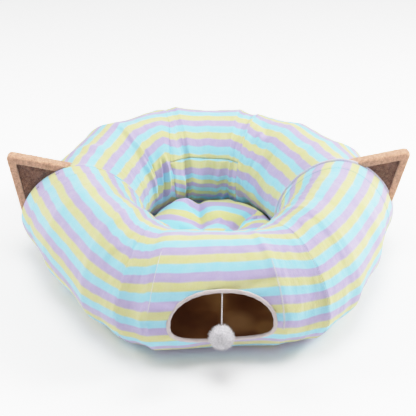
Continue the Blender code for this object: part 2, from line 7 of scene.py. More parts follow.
import bmesh
import bpy
import numpy as np
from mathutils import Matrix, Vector


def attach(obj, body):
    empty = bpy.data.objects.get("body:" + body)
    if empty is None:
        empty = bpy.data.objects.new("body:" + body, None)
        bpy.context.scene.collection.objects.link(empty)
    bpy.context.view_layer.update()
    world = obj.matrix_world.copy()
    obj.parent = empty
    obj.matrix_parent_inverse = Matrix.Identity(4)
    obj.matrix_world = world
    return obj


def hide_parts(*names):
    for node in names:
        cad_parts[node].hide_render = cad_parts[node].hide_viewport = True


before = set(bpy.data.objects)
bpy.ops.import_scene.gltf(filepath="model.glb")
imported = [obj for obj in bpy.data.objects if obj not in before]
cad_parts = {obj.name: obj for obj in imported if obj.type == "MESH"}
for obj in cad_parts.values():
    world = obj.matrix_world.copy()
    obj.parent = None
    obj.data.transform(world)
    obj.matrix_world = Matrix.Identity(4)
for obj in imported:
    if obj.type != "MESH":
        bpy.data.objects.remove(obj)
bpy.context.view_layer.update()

# The camera, from the photo's outline.
CAMERA_PLACE = (-0.0016, -1.7174, 1.1513)
CAMERA_TARGET = (-0.0016, 0.0008, 0.1275)
CAMERA_LENS_MM = 73.49

# The studio's light: the sky's strength at the horizon and overhead, and the lamps.
SKY_LOW, SKY_HIGH = 0.02, 0.52
Lamp = namedtuple("Lamp", "name place size power")
LAMPS = (
    Lamp("top_light", (0.0, -0.25, 2.6), 1.4, 30),
    Lamp("right_light", (2.2, 0.2, 1.6), 0.9, 39),
    Lamp("left_light", (-2.2, 0.2, 1.6), 0.9, 22),
)
LAMPS_AIM = (0.0, 0.0, 0.1)
# The floor glows less under the bed, and fully only past it, between these distances from its middle: a
# painted shadow round the bed.
FLOOR_GLOW, SHADOWED_GLOW_START, SHADOWED_GLOW_FULL = 0.40, 0.30, 0.70
FLOOR_SIZE, FLOOR_DROP = 12, 0.0005
# The film's response: bright light is pressed together. Light in, and what shows.
FILM_RANGE = 4.0
FILM = (
    (0.0, 0.0), (0.3, 0.3), (0.6, 0.6), (0.8, 0.758), (1.0, 0.853), (1.25, 0.921), (1.5, 0.958),
    (2.0, 0.988), (2.5, 0.997), (3.2, 1.0), (4.0, 1.0),
)

# The tube's section and its hoops, as in the part.
TOP_POWER, UNDER_POWER = 1.8, 2.1
BELLY, UNDER_CUT = 0.419, 0.04
SAG, FREE_SHARE, SMALL_TURN = 0.004, 1 / 6, 0.01
BED_MIDDLE = (-0.0042, -0.0008)
Station = namedtuple("Station", "azimuth outer inner height")
STATIONS = (
    Station(-89, 0.444, 0.151, 0.243),
    Station(-66, 0.401, 0.158, 0.243),
    Station(-40, 0.412, 0.159, 0.250),
    Station(-26, 0.436, 0.162, 0.238),
    Station(-16, 0.440, 0.172, 0.239),
    Station(20, 0.439, 0.164, 0.229),
    Station(32, 0.447, 0.163, 0.232),
    Station(46, 0.430, 0.160, 0.246),
    Station(68, 0.407, 0.159, 0.244),
    Station(92, 0.432, 0.157, 0.247),
    Station(116, 0.449, 0.156, 0.232),
    Station(138, 0.429, 0.163, 0.240),
    Station(157, 0.424, 0.160, 0.238),
    Station(166, 0.428, 0.167, 0.240),
    Station(196, 0.439, 0.168, 0.248),
    Station(204, 0.437, 0.165, 0.249),
    Station(232, 0.435, 0.172, 0.252),
    Station(252, 0.421, 0.161, 0.243),
    Station(271, 0.444, 0.151, 0.243),
)
TABLE = np.array(STATIONS)
LEFT_RIM, LEFT_SEAM, RIGHT_SEAM, RIGHT_RIM = 0, 3, 6, 9
REAR_RIGHT_SEAM, REAR_LEFT_SEAM, LEFT_RIM_AGAIN = 12, 15, 18

Fold = namedtuple("Fold", "station width lift start end")
# The soft ridges and troughs of the part, start and end in degrees round the section.
FOLDS = (
    Fold(1.0, 0.50, 0.004, -40, 120),
    Fold(4.0, 0.30, 0.004, -60, 110),
    Fold(5.0, 0.30, 0.004, -60, 110),
    Fold(4.9, 0.45, -0.011, -88, 12),
    Fold(8.2, 0.45, 0.004, -40, 120),
    Fold(13.0, 0.30, 0.003, 40, 170),
    Fold(13.5, 0.20, -0.006, 140, 230),
    Fold(14.0, 0.20, 0.004, 100, 230),
    Fold(14.5, 0.25, -0.007, 130, 230),
    Fold(15.4, 0.25, 0.006, 70, 200),
    Fold(15.8, 0.25, -0.007, 100, 230),
    Fold(16.0, 0.30, 0.005, 60, 200),
)

Crease = namedtuple("Crease", "place arc place_end arc_end width depth fold")
# Fine creases, from one place to another. Arc is millimetres from the crown, outwards above zero.
CREASE_REACH = 1.2  # in places, past which a crease isn't felt
CREASES = (
    Crease(1.83, -60, 1.88, 230, 10, -1.8, 0.8),
    Crease(0.62, 20, 1.30, 190, 16, 1.6, 0.5),
    Crease(2.45, -10, 2.30, 200, 20, 1.8, 0.0),
    Crease(3.99, -90, 3.97, 170, 8, -2.0, 0.8),
    Crease(4.10, -80, 4.10, 60, 14, 1.5, 0.0),
    Crease(4.97, -80, 4.97, 210, 8, 2.6, -0.8),
    Crease(4.86, -60, 4.90, 90, 16, -1.6, 0.0),
    Crease(5.45, -30, 5.35, 210, 22, 1.8, 0.0),
    Crease(6.45, -20, 6.40, 200, 20, 1.8, 0.4),
    Crease(6.85, -50, 6.84, 200, 9, 2.2, -0.8),
    Crease(7.60, -90, 7.45, 190, 22, 2.2, 0.5),
    Crease(8.30, -60, 8.10, 170, 18, 1.6, 0.6),
    Crease(4.40, 130, 4.85, 100, 14, -3.4, 0.6),
    Crease(3.60, 195, 4.15, 150, 16, 3.6, 0.6),
    Crease(3.60, 230, 4.20, 180, 14, -3.4, 0.4),
    Crease(5.35, 140, 5.02, 195, 15, 3.2, 0.4),
    Crease(11.95, -145, 10.95, -235, 7, 7.0, 0.9),
    Crease(11.90, -190, 11.20, -275, 8, -5.0, 0.5),
    Crease(13.15, -145, 13.30, -245, 6, 5.0, 0.8),
    Crease(13.02, -195, 12.80, -285, 8, -7.0, 0.5),
    Crease(13.00, -195, 13.25, -285, 7, 6.0, -0.8),
    Crease(14.90, -185, 15.08, -262, 6, 8.0, -0.9),
    Crease(15.00, -70, 15.36, -215, 6, 5.0, 0.0),
    Crease(15.44, -140, 15.50, -240, 4, 8.0, 0.6),
    Crease(15.54, -135, 15.64, -240, 4, -7.0, 0.4),
    Crease(15.62, -140, 15.84, -230, 4, 8.0, -0.6),
    Crease(15.84, -90, 15.86, -215, 5, -7.0, 0.5),
    Crease(16.02, -75, 15.90, -205, 5, 9.0, 0.9),
    Crease(15.88, 20, 16.26, -160, 7, 6.5, -0.8),
    Crease(16.27, -120, 15.96, -235, 7, 8.0, -0.8),
    Crease(16.60, -60, 16.70, -230, 16, 4.0, 0.6),
    Crease(11.98, -60, 12.03, 40, 11, 2.2, 0.8),
    Crease(11.15, -95, 11.60, -10, 12, -4.5, 0.7),
    Crease(11.30, -85, 11.72, -25, 12, 4.0, 0.5),
    Crease(10.55, -110, 10.90, 20, 18, 3.4, 0.6),
    Crease(10.00, -170, 10.10, 20, 16, 2.4, 0.5),
    Crease(13.98, 40, 14.50, -165, 9, 3.4, 0.0),
    Crease(13.02, -150, 13.00, 40, 10, 2.4, -0.8),
    Crease(17.00, -180, 17.00, 50, 16, 2.2, 0.4),
    Crease(17.50, -120, 17.35, 60, 18, 1.8, 0.5),
)

Rumple = namedtuple("Rumple", "place arc reach spread height")
# Where the cloth is rumpled: the middle, how far it goes in places and in millimetres, and how high.
RUMPLES = (
    Rumple(8.0, -70, 0.9, 70, 4.0),
    Rumple(2.7, 60, 0.6, 70, 4.5),
    Rumple(1.4, -40, 0.5, 70, 2.5),
    Rumple(4.1, 180, 0.4, 50, 3.0),
    Rumple(11.6, -80, 0.6, 90, 4.0),
    Rumple(15.6, -190, 0.5, 60, 4.0),
    Rumple(13.4, -230, 1.3, 40, 3.5),
    Rumple(16.9, -120, 0.6, 90, 2.5),
)
# The unevenness of stretched cloth: a bump's length each way, how far it leans with the arc, and its height.
Wrinkle = namedtuple("Wrinkle", "along around lean height")
WRINKLES = (
    Wrinkle(0.045, 0.100, 0.0, 0.0018),
    Wrinkle(0.014, 0.045, 0.0, 0.0005),
    Wrinkle(0.026, 0.080, 0.35, 0.0009),
)
RIDGES, RIDGE_LEVEL = Wrinkle(0.030, 0.045, 0.5, 1.0), 0.4  # the rumples' ridges, and their level of no lift
# The rear left seam slants: thirty-seconds of the way round, and how many places it is off its station.
SLANT_TURNS = (-8, 0, 6, 8, 10, 12, 13.4, 16, 19, 24)
SLANT_PLACES = (0.0, -0.1, -0.25, -0.25, 0.0, 0.20, 0.35, 0.30, 0.20, 0.0)

# The stripes. Along the ring, the cloth's length is taken as the same for each place.
STRIPE_PERIOD = 0.0575
PLACE_LENGTH = 0.18
WAVER, RUMPLED_WAVER = 0.0010, 0.4  # how far a stripe wavers, and for each metre of rumple
WAVER_ALONG, WAVER_AROUND = 0.026, 0.05
Drift = namedtuple("Drift", "place inner back crown front outer")
# Where a lavender stripe's middle lies, in millimetres from the crown, at arcs of -200, -100, 0, 100 and 200.
DRIFT_ARCS = (-0.20, -0.10, 0.0, 0.10, 0.20)
FRONT_LEFT_DRIFT = (
    Drift(0.0, -20, -17, -12, -8, -2),
    Drift(0.5, -18, -16, -13, -10, -1),
    Drift(1.0, -18, -17, -13, -14, -20),
    Drift(1.5, -8, -7, -8, -10, -18),
    Drift(2.0, -2, -1, 0, 1, 2),
    Drift(2.5, 14, 13, 11, 1, -8),
    Drift(3.0, 26, 24, 13, 7, -14),
)
FRONT_CENTRE_DRIFT = (
    Drift(3.0, 26, 24, 14, 9, -12),
    Drift(3.5, 12, 12, 5, -6, -14),
    Drift(4.0, -10, -11, -12, -12, -14),
    Drift(4.5, -22, -22, -22, -26, -38),
    Drift(5.0, -25, -25, -25, -22, -31),
    Drift(5.5, 4, 2, -12, -17, -29),
    Drift(6.0, 8, 8, 6, -2, -24),
)
FRONT_RIGHT_DRIFT = (
    Drift(6.0, 2, 2, 3, -3, -22),
    Drift(6.5, -3, -3, 0, -4, -16),
    Drift(7.0, 14, 14, 8, -1, -4),
    Drift(7.5, 4, 4, 8, 0, -9),
    Drift(8.0, -7, -7, 8, 5, -9),
    Drift(8.5, 0, 0, 16, 18, 24),
    Drift(9.0, 0, 2, 20, 26, 32),
)
REAR_RIGHT_DRIFT = (
    Drift(9.0, -14, -12, -3, 3, 3),
    Drift(9.5, -17, -13, -9, 3, 3),
    Drift(10.0, -26, -19, -22, -22, -22),
    Drift(10.5, -25, -8, -14, -14, -14),
    Drift(11.0, -12, -8, -8, -8, -8),
    Drift(11.5, 9, 2, 0, 0, 0),
    Drift(12.0, 6, 6, 10, 10, 10),
)
REAR_CENTRE_DRIFT = (
    Drift(12.0, 8, 10, 19, 20, 20),
    Drift(12.5, 10, 18, 19, 19, 19),
    Drift(13.0, 6, 12, 7, 7, 7),
    Drift(13.5, 12, 21, 15, 15, 15),
    Drift(14.0, 4, 7, 3, 3, 3),
    Drift(14.5, 8, 14, 13, 13, 13),
    Drift(15.0, 6, 8, 4, 4, 4),
)
INNER_WALL_DRIFT = (
    Drift(12.0, -2, -2, 0, 0, 0),
    Drift(12.5, 3, 3, 0, 0, 0),
    Drift(13.0, -5, -5, 0, 0, 0),
    Drift(13.5, 3, 3, 0, 0, 0),
    Drift(14.0, -10, -10, 0, 0, 0),
    Drift(14.5, -5, -5, 0, 0, 0),
    Drift(15.0, -10, -10, 0, 0, 0),
    Drift(15.4, -8, -8, 0, 0, 0),
)
REAR_LEFT_DRIFT = (
    Drift(15.0, 5, 8, 4, 4, 4),
    Drift(15.5, 0, 18, 19, 19, 19),
    Drift(15.8, 12, 14, 13, 13, 13),
    Drift(16.0, -14, -3, -6, -6, -6),
    Drift(16.5, 3, 2, -1, 0, 0),
    Drift(17.0, 1, 1, -1, 3, 3),
    Drift(17.5, 0, 2, 2, 6, 6),
    Drift(18.0, 0, 2, 3, 6, 6),
)

# Where the left hem is tacked to its rim, as place and arc in metres.
TACKS = ((0.070, 0.055), (0.070, 0.114))
# Zigzag stitching on the front: its place, and the arcs it runs between.
Zigzag = namedtuple("Zigzag", "name place start end")
ZIGZAGS = (Zigzag("left_zigzag", 3.99, 0.040, 0.175), Zigzag("right_zigzag", 4.97, 0.060, 0.215))
HEM_THREAD = 0.0016  # from the hem's line to its thread

# Cloth, hems and bands.
CLOTH_BACK = 0.0012  # the cloth's own thickness
AROUND = 240
SPAN_ROWS, REAR_LEFT_ROWS = 20, 30
LINING_AROUND, LINING_ROWS = 120, 12
SEAM_GAP = 0.0003
EDGE_STEPS = (0.0007, 0.0015, 0.0025, 0.004, 0.006)
HEM_STEPS = (-0.004, -0.0025, -0.0015, -0.0008, 0.0, 0.0008, 0.0015, 0.0025, 0.004)
HEM_WIDTH, HEM_RISE = 0.048, 0.0016
HEM_SHIFT_LEFT, HEM_SHIFT_RIGHT = 0.003, 0.001
JOIN_BAND_WIDTH = 0.012
REAR_DEPTH = 0.002
WALL_SEAM_TURN = 2 * math.pi * 13.45 / 32
WALL_FOOT_TURN = 2 * math.pi * 22 / 32
# Below this arc the wall is gathered, so its stripes are narrower by this share.
TUCK_ARC, WALL_TUCK = -0.183, 0.7
SEAM_TURN = 0.0013  # half the gap at the wall seam, as a turn
CROWN_STEPS, WALL_STEPS = 170, 70
WALL_SEAM_ROLL = 0.25  # the wall seam's roll, as a share of another seam's
# A sewn edge rolls in, and puckers stand beside it: how far, over what distance, and how long one is.
EDGE_ROLL, EDGE_REACH = 0.0016, 0.0026
PUCKER_HEIGHT, PUCKER_START, PUCKER_REACH = 0.0011, 0.0025, 0.011
HEM_STEP, HEM_GROOVE, HEM_GROOVE_DEPTH = 0.0006, 0.0014, 0.0007
HEM_STITCH = 0.0015  # from the hem's line to the groove that its stitches draw in
FLOOR_FADE = 0.03  # below this height the cloth loses its folds, because the floor presses it flat
JOIN_RISE, JOIN_SINK = 0.0062, 0.0004
LEFT_JOIN_RISE, LEFT_JOIN_SINK = 0.0016, 0.0010

# The entrance, its binding, the pompom and the string.
ENTRANCE_X, ENTRANCE_WIDTH = 0.0215, 0.209
ENTRANCE_TOP, ENTRANCE_FOOT, ENTRANCE_WIDEST = 0.170, 0.061, 0.110
ENTRANCE_TOP_POWER, ENTRANCE_FOOT_POWER = 2.4, 2.6
ENTRANCE_POINTS = 176
ENTRANCE_PLACE = 4.5
BINDING_WIDTH, BINDING_THICKNESS = 0.008, 0.0066
BINDING_SIDES, BINDING_WAVES = 20, 29
BINDING_DEPTH, BINDING_OVERLAP = 0.00175, 0.0015
DIP_DEPTH, DIP_REACH, DIP_PUCKER = 0.0022, 0.010, 0.0012
OUTLINE_SCALE = 0.075  # metres for one unit of the entrance's outline formula
CUTTER_REACH, CUTTER_STEP = 0.03, 4
LINING_DEPTH, LINING_THICKNESS, LINING_LOOSE = 0.0024, 0.0010, 0.0042
# The lining's painted light, and the middle of a painted pool of light on the lining.
LINING_PAINTED_LIGHT, PAINTED_LIGHT_SPOT = 0.09, (0.062, -0.270, 0.004)
POMPOM_RADIUS, POMPOM_CORE = 0.0265, 0.0150
POMPOM_MIDDLE = (0.0242, -0.4457, 0.104)
POMPOM_STRANDS, POMPOM_LOCKS, LOCK_PULL = 3000, 130, 0.22
YARN_WIDTH, YARN_CORE = 0.00085, 0.84  # the core's radius is a share of the pompom's
STRING_WIDTH, STRING_SAG = 0.0032, 0.0012
STRING_POINTS, STRING_RINGS, STRING_SIDES, RINGS_PER_TWIST = 60, 240, 8, 26
PLY_OFFSET, PLY_RADIUS = 0.24, 0.26  # as shares of the string's width
STRING_TOP_GAP, STRING_FOOT_DEPTH = 0.0005, 0.0014


def hashed(x, y, seed):
    """A value from 0 to 1 for each whole-numbered place."""
    wave = np.sin(x * 127.1 + y * 311.7 + seed * 74.7) * 43758.5453
    return wave - np.floor(wave)


def soft_noise(x, y, seed):
    """Smooth noise from -1 to 1 over a plane, one bump for each unit."""
    column, row = np.floor(x), np.floor(y)
    across, up = x - column, y - row
    across, up = across * across * (3 - 2 * across), up * up * (3 - 2 * up)
    low = hashed(column, row, seed) * (1 - across) + hashed(column + 1, row, seed) * across
    high = hashed(column, row + 1, seed) * (1 - across) + hashed(column + 1, row + 1, seed) * across
    return (low * (1 - up) + high * up) * 2 - 1


def level_points(azimuth, radius):
    turn = np.radians(azimuth)
    return np.stack([np.sin(turn) * radius, -np.cos(turn) * radius], -1)


def bow(share):
    return 4 * share * (1 - share)


def section_shape(turn):
    across, up = np.cos(turn), np.sin(turn)
    power = np.where(up > 0, 2 / TOP_POWER, 2 / UNDER_POWER)
    wide = (np.sign(across) * np.abs(across) ** power + 1) / 2
    rise = np.abs(up) ** power
    high = np.where(up > 0, BELLY + (1 - BELLY) * rise, BELLY - (BELLY + UNDER_CUT) * rise)
    return wide, high


def fold_lift(place, turn):
    degrees = np.degrees(turn) % 360
    degrees = np.where(degrees > 270, degrees - 360, degrees)
    lift = np.zeros_like(turn)
    for fold in FOLDS:
        reach = (fold.end - fold.start) / 2
        across = np.clip(np.abs(degrees - fold.start - reach) / reach, 0, 1)
        lift += fold.lift * bell(place - fold.station, fold.width) * np.cos(across * math.pi / 2)
    return lift


def cloth_points(place, turn, lift=0.0):
    """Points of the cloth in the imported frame. Place counts stations, and lift stands out of the tube."""
    first = np.clip(place.astype(int), 0, len(TABLE) - 2)
    share = place - first
    here, there = TABLE[first], TABLE[first + 1]

    def between(index):
        near = level_points(here[..., 0], here[..., index])
        far = level_points(there[..., 0], there[..., index])
        return near * (1 - share[..., None]) + far * share[..., None]

    outer, inner = between(1), between(2)
    height = here[..., 3] * (1 - share) + there[..., 3] * share
    width = np.linalg.norm(outer - inner, axis=-1)
    outwards = (outer - inner) / width[..., None]
    before, after = section_shape(turn - SMALL_TURN), section_shape(turn + SMALL_TURN)
    along = np.stack([(after[0] - before[0]) * width, (after[1] - before[1]) * height], -1)
    normal = np.stack([along[..., 1], -along[..., 0]], -1) / np.linalg.norm(along, axis=-1)[..., None]
    wide, up = section_shape(turn)
    free = np.clip(up / FREE_SHARE, 0, 1)
    raised = (fold_lift(place, turn) - SAG * bow(share)) * free
    flat = np.stack([wide * width, up * height], -1) + normal * (raised + lift)[..., None]
    level = inner + outwards * flat[..., :1] - np.array(BED_MIDDLE)
    # On the floor the cloth lies flat, and its back and the lining lie over it.
    resting = np.maximum(0, -np.broadcast_to(lift, flat[..., 1].shape))
    height_now = np.maximum(flat[..., 1], np.minimum(resting, 0.004))
    return np.concatenate([level, height_now[..., None]], -1)


def span_length(place):
    first = min(int(place), len(STATIONS) - 2)
    ends = level_points(TABLE[first : first + 2, 0], TABLE[first : first + 2, 1])
    return float(np.linalg.norm(ends[1] - ends[0]))


def arcs_of(points, turns):
    """Length along the cloth from the crown, outwards above zero, for each row of points."""
    steps = np.linalg.norm(np.diff(points, axis=1), axis=-1)
    run = np.concatenate([np.zeros((len(points), 1)), np.cumsum(steps, axis=1)], axis=1)
    crown = np.array([np.interp(math.pi / 2, turns, row) for row in run])
    return crown[:, None] - run


def drift_at(rows, place, arc):
    """Where the stripes lie, between the rows of a drift table."""
    places = np.array([row.place for row in rows])
    values = np.array([row[1:] for row in rows]) / 1000
    columns = np.stack([np.interp(place, places, values[:, index]) for index in range(5)], -1)
    position = np.clip((arc - DRIFT_ARCS[0]) / (DRIFT_ARCS[1] - DRIFT_ARCS[0]), 0, 3.9999)
    left = position.astype(int)
    share = position - left
    low = np.take_along_axis(columns, left[..., None], -1)[..., 0]
    high = np.take_along_axis(columns, left[..., None] + 1, -1)[..., 0]
    return low * (1 - share) + high * share


def along_scale(place, arc):
    """Metres along the ring for one station, at this arc: less on the inner side."""
    first = min(int(place), len(STATIONS) - 2)
    spread = math.radians(TABLE[first + 1, 0] - TABLE[first, 0])
    middle = (TABLE[first, 1] + TABLE[first, 2]) / 2
    return spread * np.interp(arc, (-0.12, 0.0, 0.12), (TABLE[first, 2], middle, TABLE[first, 1]))


def crease_lift(place, arc):
    """Each crease fades at its ends. A fold has a raised side and a sunken side."""
    lift = np.zeros_like(arc)
    for crease in CREASES:
        start, end = crease.arc / 1000, crease.arc_end / 1000
        middle = (crease.place + crease.place_end) / 2
        share = np.clip((arc - start) / (end - start), 0, 1)
        line = crease.place + (crease.place_end - crease.place) * share
        scale = along_scale(middle, (start + end) / 2)
        slant = math.hypot(1, (crease.place_end - crease.place) * scale / (end - start))
        aside = (place - line) * along_scale(middle, arc) / slant * 1000 / crease.width
        fade = np.sin(share * math.pi) ** 0.5
        near = np.abs(place - line) < CREASE_REACH
        lift += crease.depth / 1000 * fade * near * np.exp(-(aside**2)) * (1 + crease.fold * aside)
    return lift


def wrinkle_noise(wrinkle, place, arc, seed):
    leaning = place * PLACE_LENGTH + arc * wrinkle.lean
    return soft_noise(leaning / wrinkle.along, arc / wrinkle.around, seed) * wrinkle.height


def wrinkle_lift(place, arc):
    """Small unevenness of stretched cloth, longer round the tube than along, with ridges where it rumples."""
    lift = np.zeros_like(arc)
    for seed, wrinkle in enumerate(WRINKLES, 1):
        lift += wrinkle_noise(wrinkle, place, arc, seed)
    ridges = 1 - np.abs(wrinkle_noise(RIDGES, place, arc, len(WRINKLES) + 1))
    return lift + (ridges**2 - RIDGE_LEVEL) * rumpled(place, arc)


def rumpled(place, arc):
    """How much the cloth is rumpled, in metres."""
    amount = np.zeros_like(arc)
    for rumple in RUMPLES:
        off = ((place - rumple.place) / rumple.reach) ** 2 + ((arc * 1000 - rumple.arc) / rumple.spread) ** 2
        amount = np.maximum(amount, rumple.height / 1000 * np.exp(-off))
    return amount


def stripe_uv(place, arc, drift):
    """Metres along the cloth and across its stripes, which waver a little."""
    along = place * PLACE_LENGTH
    reach = WAVER + rumpled(place, arc) * RUMPLED_WAVER
    waver = soft_noise(along / WAVER_ALONG, arc / WAVER_AROUND, 51) * reach
    return np.stack([along, arc - drift_at(drift, place, arc) + waver], -1)


def seam_slant(place, turn):
    """How many places the cloth beside the rear left seam is shifted to follow that seam."""
    part = turn / (2 * math.pi) * 32
    part = np.where(part < -8, part + 32, part)
    return np.interp(part, SLANT_TURNS, SLANT_PLACES) * np.maximum(0, 1 - np.abs(place - REAR_LEFT_SEAM))


def bell(distance, reach):
    """One at no distance, and next to nothing two reaches away."""
    return np.exp(-((distance / reach) ** 2))


def edge_lift(distance, arc, seed):
    """At a sewn edge the cloth turns in, with small puckers beside it."""
    pucker = soft_noise(arc / PUCKER_REACH, distance * 0 + seed, seed) * PUCKER_HEIGHT
    beside = bell(distance, PUCKER_REACH) * (1 - bell(distance, PUCKER_START))
    return pucker * beside - EDGE_ROLL * bell(distance, EDGE_REACH)


def piece_rows(start, end, gap_start, gap_end, extra=(), each=SPAN_ROWS):
    """Places from start to end, closer together at the sewn edges."""
    first_scale, last_scale = span_length(start), span_length(end - 0.01)
    first, last = start + gap_start / first_scale, end - gap_end / last_scale
    count = round((end - start) * (REAR_LEFT_ROWS if start == REAR_LEFT_SEAM else each))
    rows = [*np.linspace(first, last, count + 1), *extra]
    for step in EDGE_STEPS:
        rows += [first + step / first_scale, last - step / last_scale]
    return np.array(sorted({round(row, 6) for row in rows if first <= row <= last}))


def new_object(name, points, faces, uv=None, material=None):
    """A smooth mesh object. Uv holds a pair for each corner of each face, in order."""
    mesh = bpy.data.meshes.new(name)
    mesh.from_pydata(np.asarray(points).tolist(), [], faces)
    if uv is not None:
        layer = mesh.uv_layers.new(name="cloth")
        layer.data.foreach_set("uv", np.asarray(uv, float).reshape(-1))
    mesh.polygons.foreach_set("use_smooth", [True] * len(mesh.polygons))
    made = bpy.data.objects.new(name, mesh)
    bpy.context.scene.collection.objects.link(made)
    if material:
        mesh.materials.append(material)
    return made


def shell(name, outside, inside, uv_grid, closed, material):
    """A thin body from two grids of points, rows by columns, with walls at its edges."""
    rows, columns = outside.shape[:2]
    back, wide = rows * columns, uv_grid.shape[1]
    flat = uv_grid.reshape(-1, 2)
    faces, uvs = [], []

    def add(corners, spots, edge=0):
        """Faces by their corners, and each corner's spot in the uv grid. Those at a far edge face back."""
        way = -1 if edge else 1
        faces.append(np.stack(corners, -1)[:, ::way])
        uvs.append(np.stack([flat[spot] for spot in spots], 1)[:, ::way])

    steps = columns if closed else columns - 1
    grid = np.meshgrid(np.arange(rows - 1), np.arange(steps), indexing="ij")
    row, column = (part.reshape(-1) for part in grid)
    a, b = row * columns + column, row * columns + (column + 1) % columns
    c = row * wide + column
    d = c + 1
    add([a, a + columns, b + columns, b], [c, c + wide, d + wide, d])
    add([back + a, back + b, back + b + columns, back + a + columns], [c, d, d + wide, c + wide])
    column = np.arange(steps)
    for edge in (0, rows - 1):
        a, b = edge * columns + column, edge * columns + (column + 1) % columns
        c = edge * wide + column
        add([a, b, back + b, back + a], [c, c + 1, c + 1, c], edge)
    if not closed:
        row = np.arange(rows - 1)
        for edge in (0, columns - 1):
            a, c = row * columns + edge, row * wide + edge
            add([a, back + a, back + a + columns, a + columns], [c, c, c + wide, c + wide], edge)
    points = np.concatenate([outside.reshape(-1, 3), inside.reshape(-1, 3)])
    return new_object(name, points, np.concatenate(faces).tolist(), np.concatenate(uvs), material)


def ride(piece, slot, *nodes):
    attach(piece, "root")
    if nodes:
        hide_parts(*nodes)
    return piece


# Materials


class Tree:
    """A material's node tree, built with short calls."""

    def __init__(self, name, **values):
        self.material = bpy.data.materials.new(name)
        self.material.use_nodes = True
        self.tree = self.material.node_tree
        self.shader = self.tree.nodes["Principled BSDF"]
        self.set(self.shader, values)

    def set(self, node, values):
        for key, value in values.items():
            socket = node.inputs[key.replace("_", " ")] if isinstance(key, str) else node.inputs[key]
            if isinstance(value, bpy.types.NodeSocket):
                self.tree.links.new(value, socket)
            else:
                socket.default_value = value

    def add(self, kind, output=0, inputs=None, **settings):
        node = self.tree.nodes.new("ShaderNode" + kind)
        for key, value in settings.items():
            setattr(node, key, value)
        self.set(node, inputs or {})
        return node.outputs[output]

    def math(self, operation, *values, clamp=False):
        return self.add("Math", inputs=dict(enumerate(values)), operation=operation, use_clamp=clamp)

    def noise(self, vector, scale, detail=2.0, roughness=0.5):
        inputs = {"Vector": vector, "Scale": scale, "Detail": detail, "Roughness": roughness}
        return self.add("TexNoise", inputs=inputs)

    def mix(self, share, first, second, blend="MIX"):
        node = self.tree.nodes.new("ShaderNodeMix")
        node.data_type, node.blend_type = "RGBA", blend
        self.set(node, {0: share, 6: first, 7: second})
        return node.outputs[2]

    def ramp(self, share, stops, interpolation="LINEAR"):
        node = self.tree.nodes.new("ShaderNodeValToRGB")
        node.color_ramp.interpolation = interpolation
        marks = node.color_ramp.elements
        while len(marks) < len(stops):
            marks.new(0.5)
        for mark, (position, colour) in zip(marks, stops):
            mark.position = position
            mark.color = colour if len(colour) == 4 else (*colour, 1)
        self.set(node, {0: share})
        return node.outputs[0]

    def bump(self, height, distance, strength=1.0, normal=None):
        inputs = {"Height": height, "Distance": distance, "Strength": strength}
        if normal:
            inputs["Normal"] = normal
        return self.add("Bump", inputs=inputs)


LAVENDER = (0.550, 0.465, 0.740)
YELLOW = (0.745, 0.735, 0.330)
CYAN = (0.385, 0.790, 0.960)
WHITE_MIX = (0.95, 0.96, 1.0, 1)
STRIPE_SOFTNESS = 0.060
BLOTCH_WHITENING = 0.35
STRIPE_WANDER, STRIPE_FUZZ = 0.0016, 0.0022
THREAD_PITCH = 0.0011


def stripe_material(name, paler=0.0):
    """Brushed cotton with woven stripes. The uv holds metres along the panel and across the stripes."""
    tree = Tree(name, Roughness=0.92, Sheen_Weight=0.35, Sheen_Roughness=0.6, Specular_IOR_Level=0.2)
    uv = tree.add("UVMap", uv_map="cloth")
    parts = tree.tree.nodes.new("ShaderNodeSeparateXYZ")
    tree.set(parts, {0: uv})
    wander = tree.math("MULTIPLY", tree.math("SUBTRACT", tree.noise(uv, 45, 2), 0.5), STRIPE_WANDER)
    fuzz = tree.math("MULTIPLY", tree.math("SUBTRACT", tree.noise(uv, 900, 2), 0.5), STRIPE_FUZZ)
    across = tree.math("ADD", tree.math("ADD", parts.outputs[1], wander), fuzz)
    share = tree.math("FRACT", tree.math("ADD", tree.math("DIVIDE", across, STRIPE_PERIOD), 1 / 6))
    third, soft = 1 / 3, STRIPE_SOFTNESS / 2
    between = tuple((first + last) / 2 for first, last in zip(CYAN, LAVENDER))
    stops = [
        (0.0, between),
        (soft, LAVENDER),
        (third - soft, LAVENDER),
        (third + soft, YELLOW),
        (2 * third - soft, YELLOW),
        (2 * third + soft, CYAN),
        (1 - soft, CYAN),
        (1.0, between),
    ]
    colour = tree.ramp(share, stops)
    # Random whitish blotches, plus the paler share, mix white into the stripes.
    blotch = tree.noise(uv, 55, 3, 0.6)
    white_share = tree.math("ADD", tree.math("MULTIPLY", tree.math("POWER", blotch, 2.0), BLOTCH_WHITENING), paler)
    colour = tree.mix(white_share, colour, WHITE_MIX)
    heather = tree.noise(tree.add("Mapping", inputs={"Vector": uv, "Scale": (420, 1500, 1)}), 1.0, 3, 0.7)
    fibres = tree.ramp(heather, [(0.30, (0.86, 0.86, 0.86)), (0.62, (1.04, 1.04, 1.04))])
    colour = tree.mix(0.75, colour, fibres, "MULTIPLY")
    tree.set(tree.shader, {"Base Color": colour})
    warp = tree.math("SINE", tree.math("MULTIPLY", parts.outputs[0], 2 * math.pi / THREAD_PITCH))
    weft = tree.math("SINE", tree.math("MULTIPLY", parts.outputs[1], 2 * math.pi / THREAD_PITCH))
    weave = tree.math("MULTIPLY", warp, weft)
    nap = tree.noise(uv, 1400, 3, 0.7)
    height = tree.math("ADD", tree.math("MULTIPLY", weave, 0.25), nap)
    crumple = tree.noise(tree.add("Mapping", inputs={"Vector": uv, "Scale": (60, 28, 1)}), 1.0, 4, 0.55)
    normal = tree.bump(crumple, 0.0022, 0.55)
    tree.set(tree.shader, {"Normal": tree.bump(height, 0.00035, 0.6, normal)})
    return tree.material


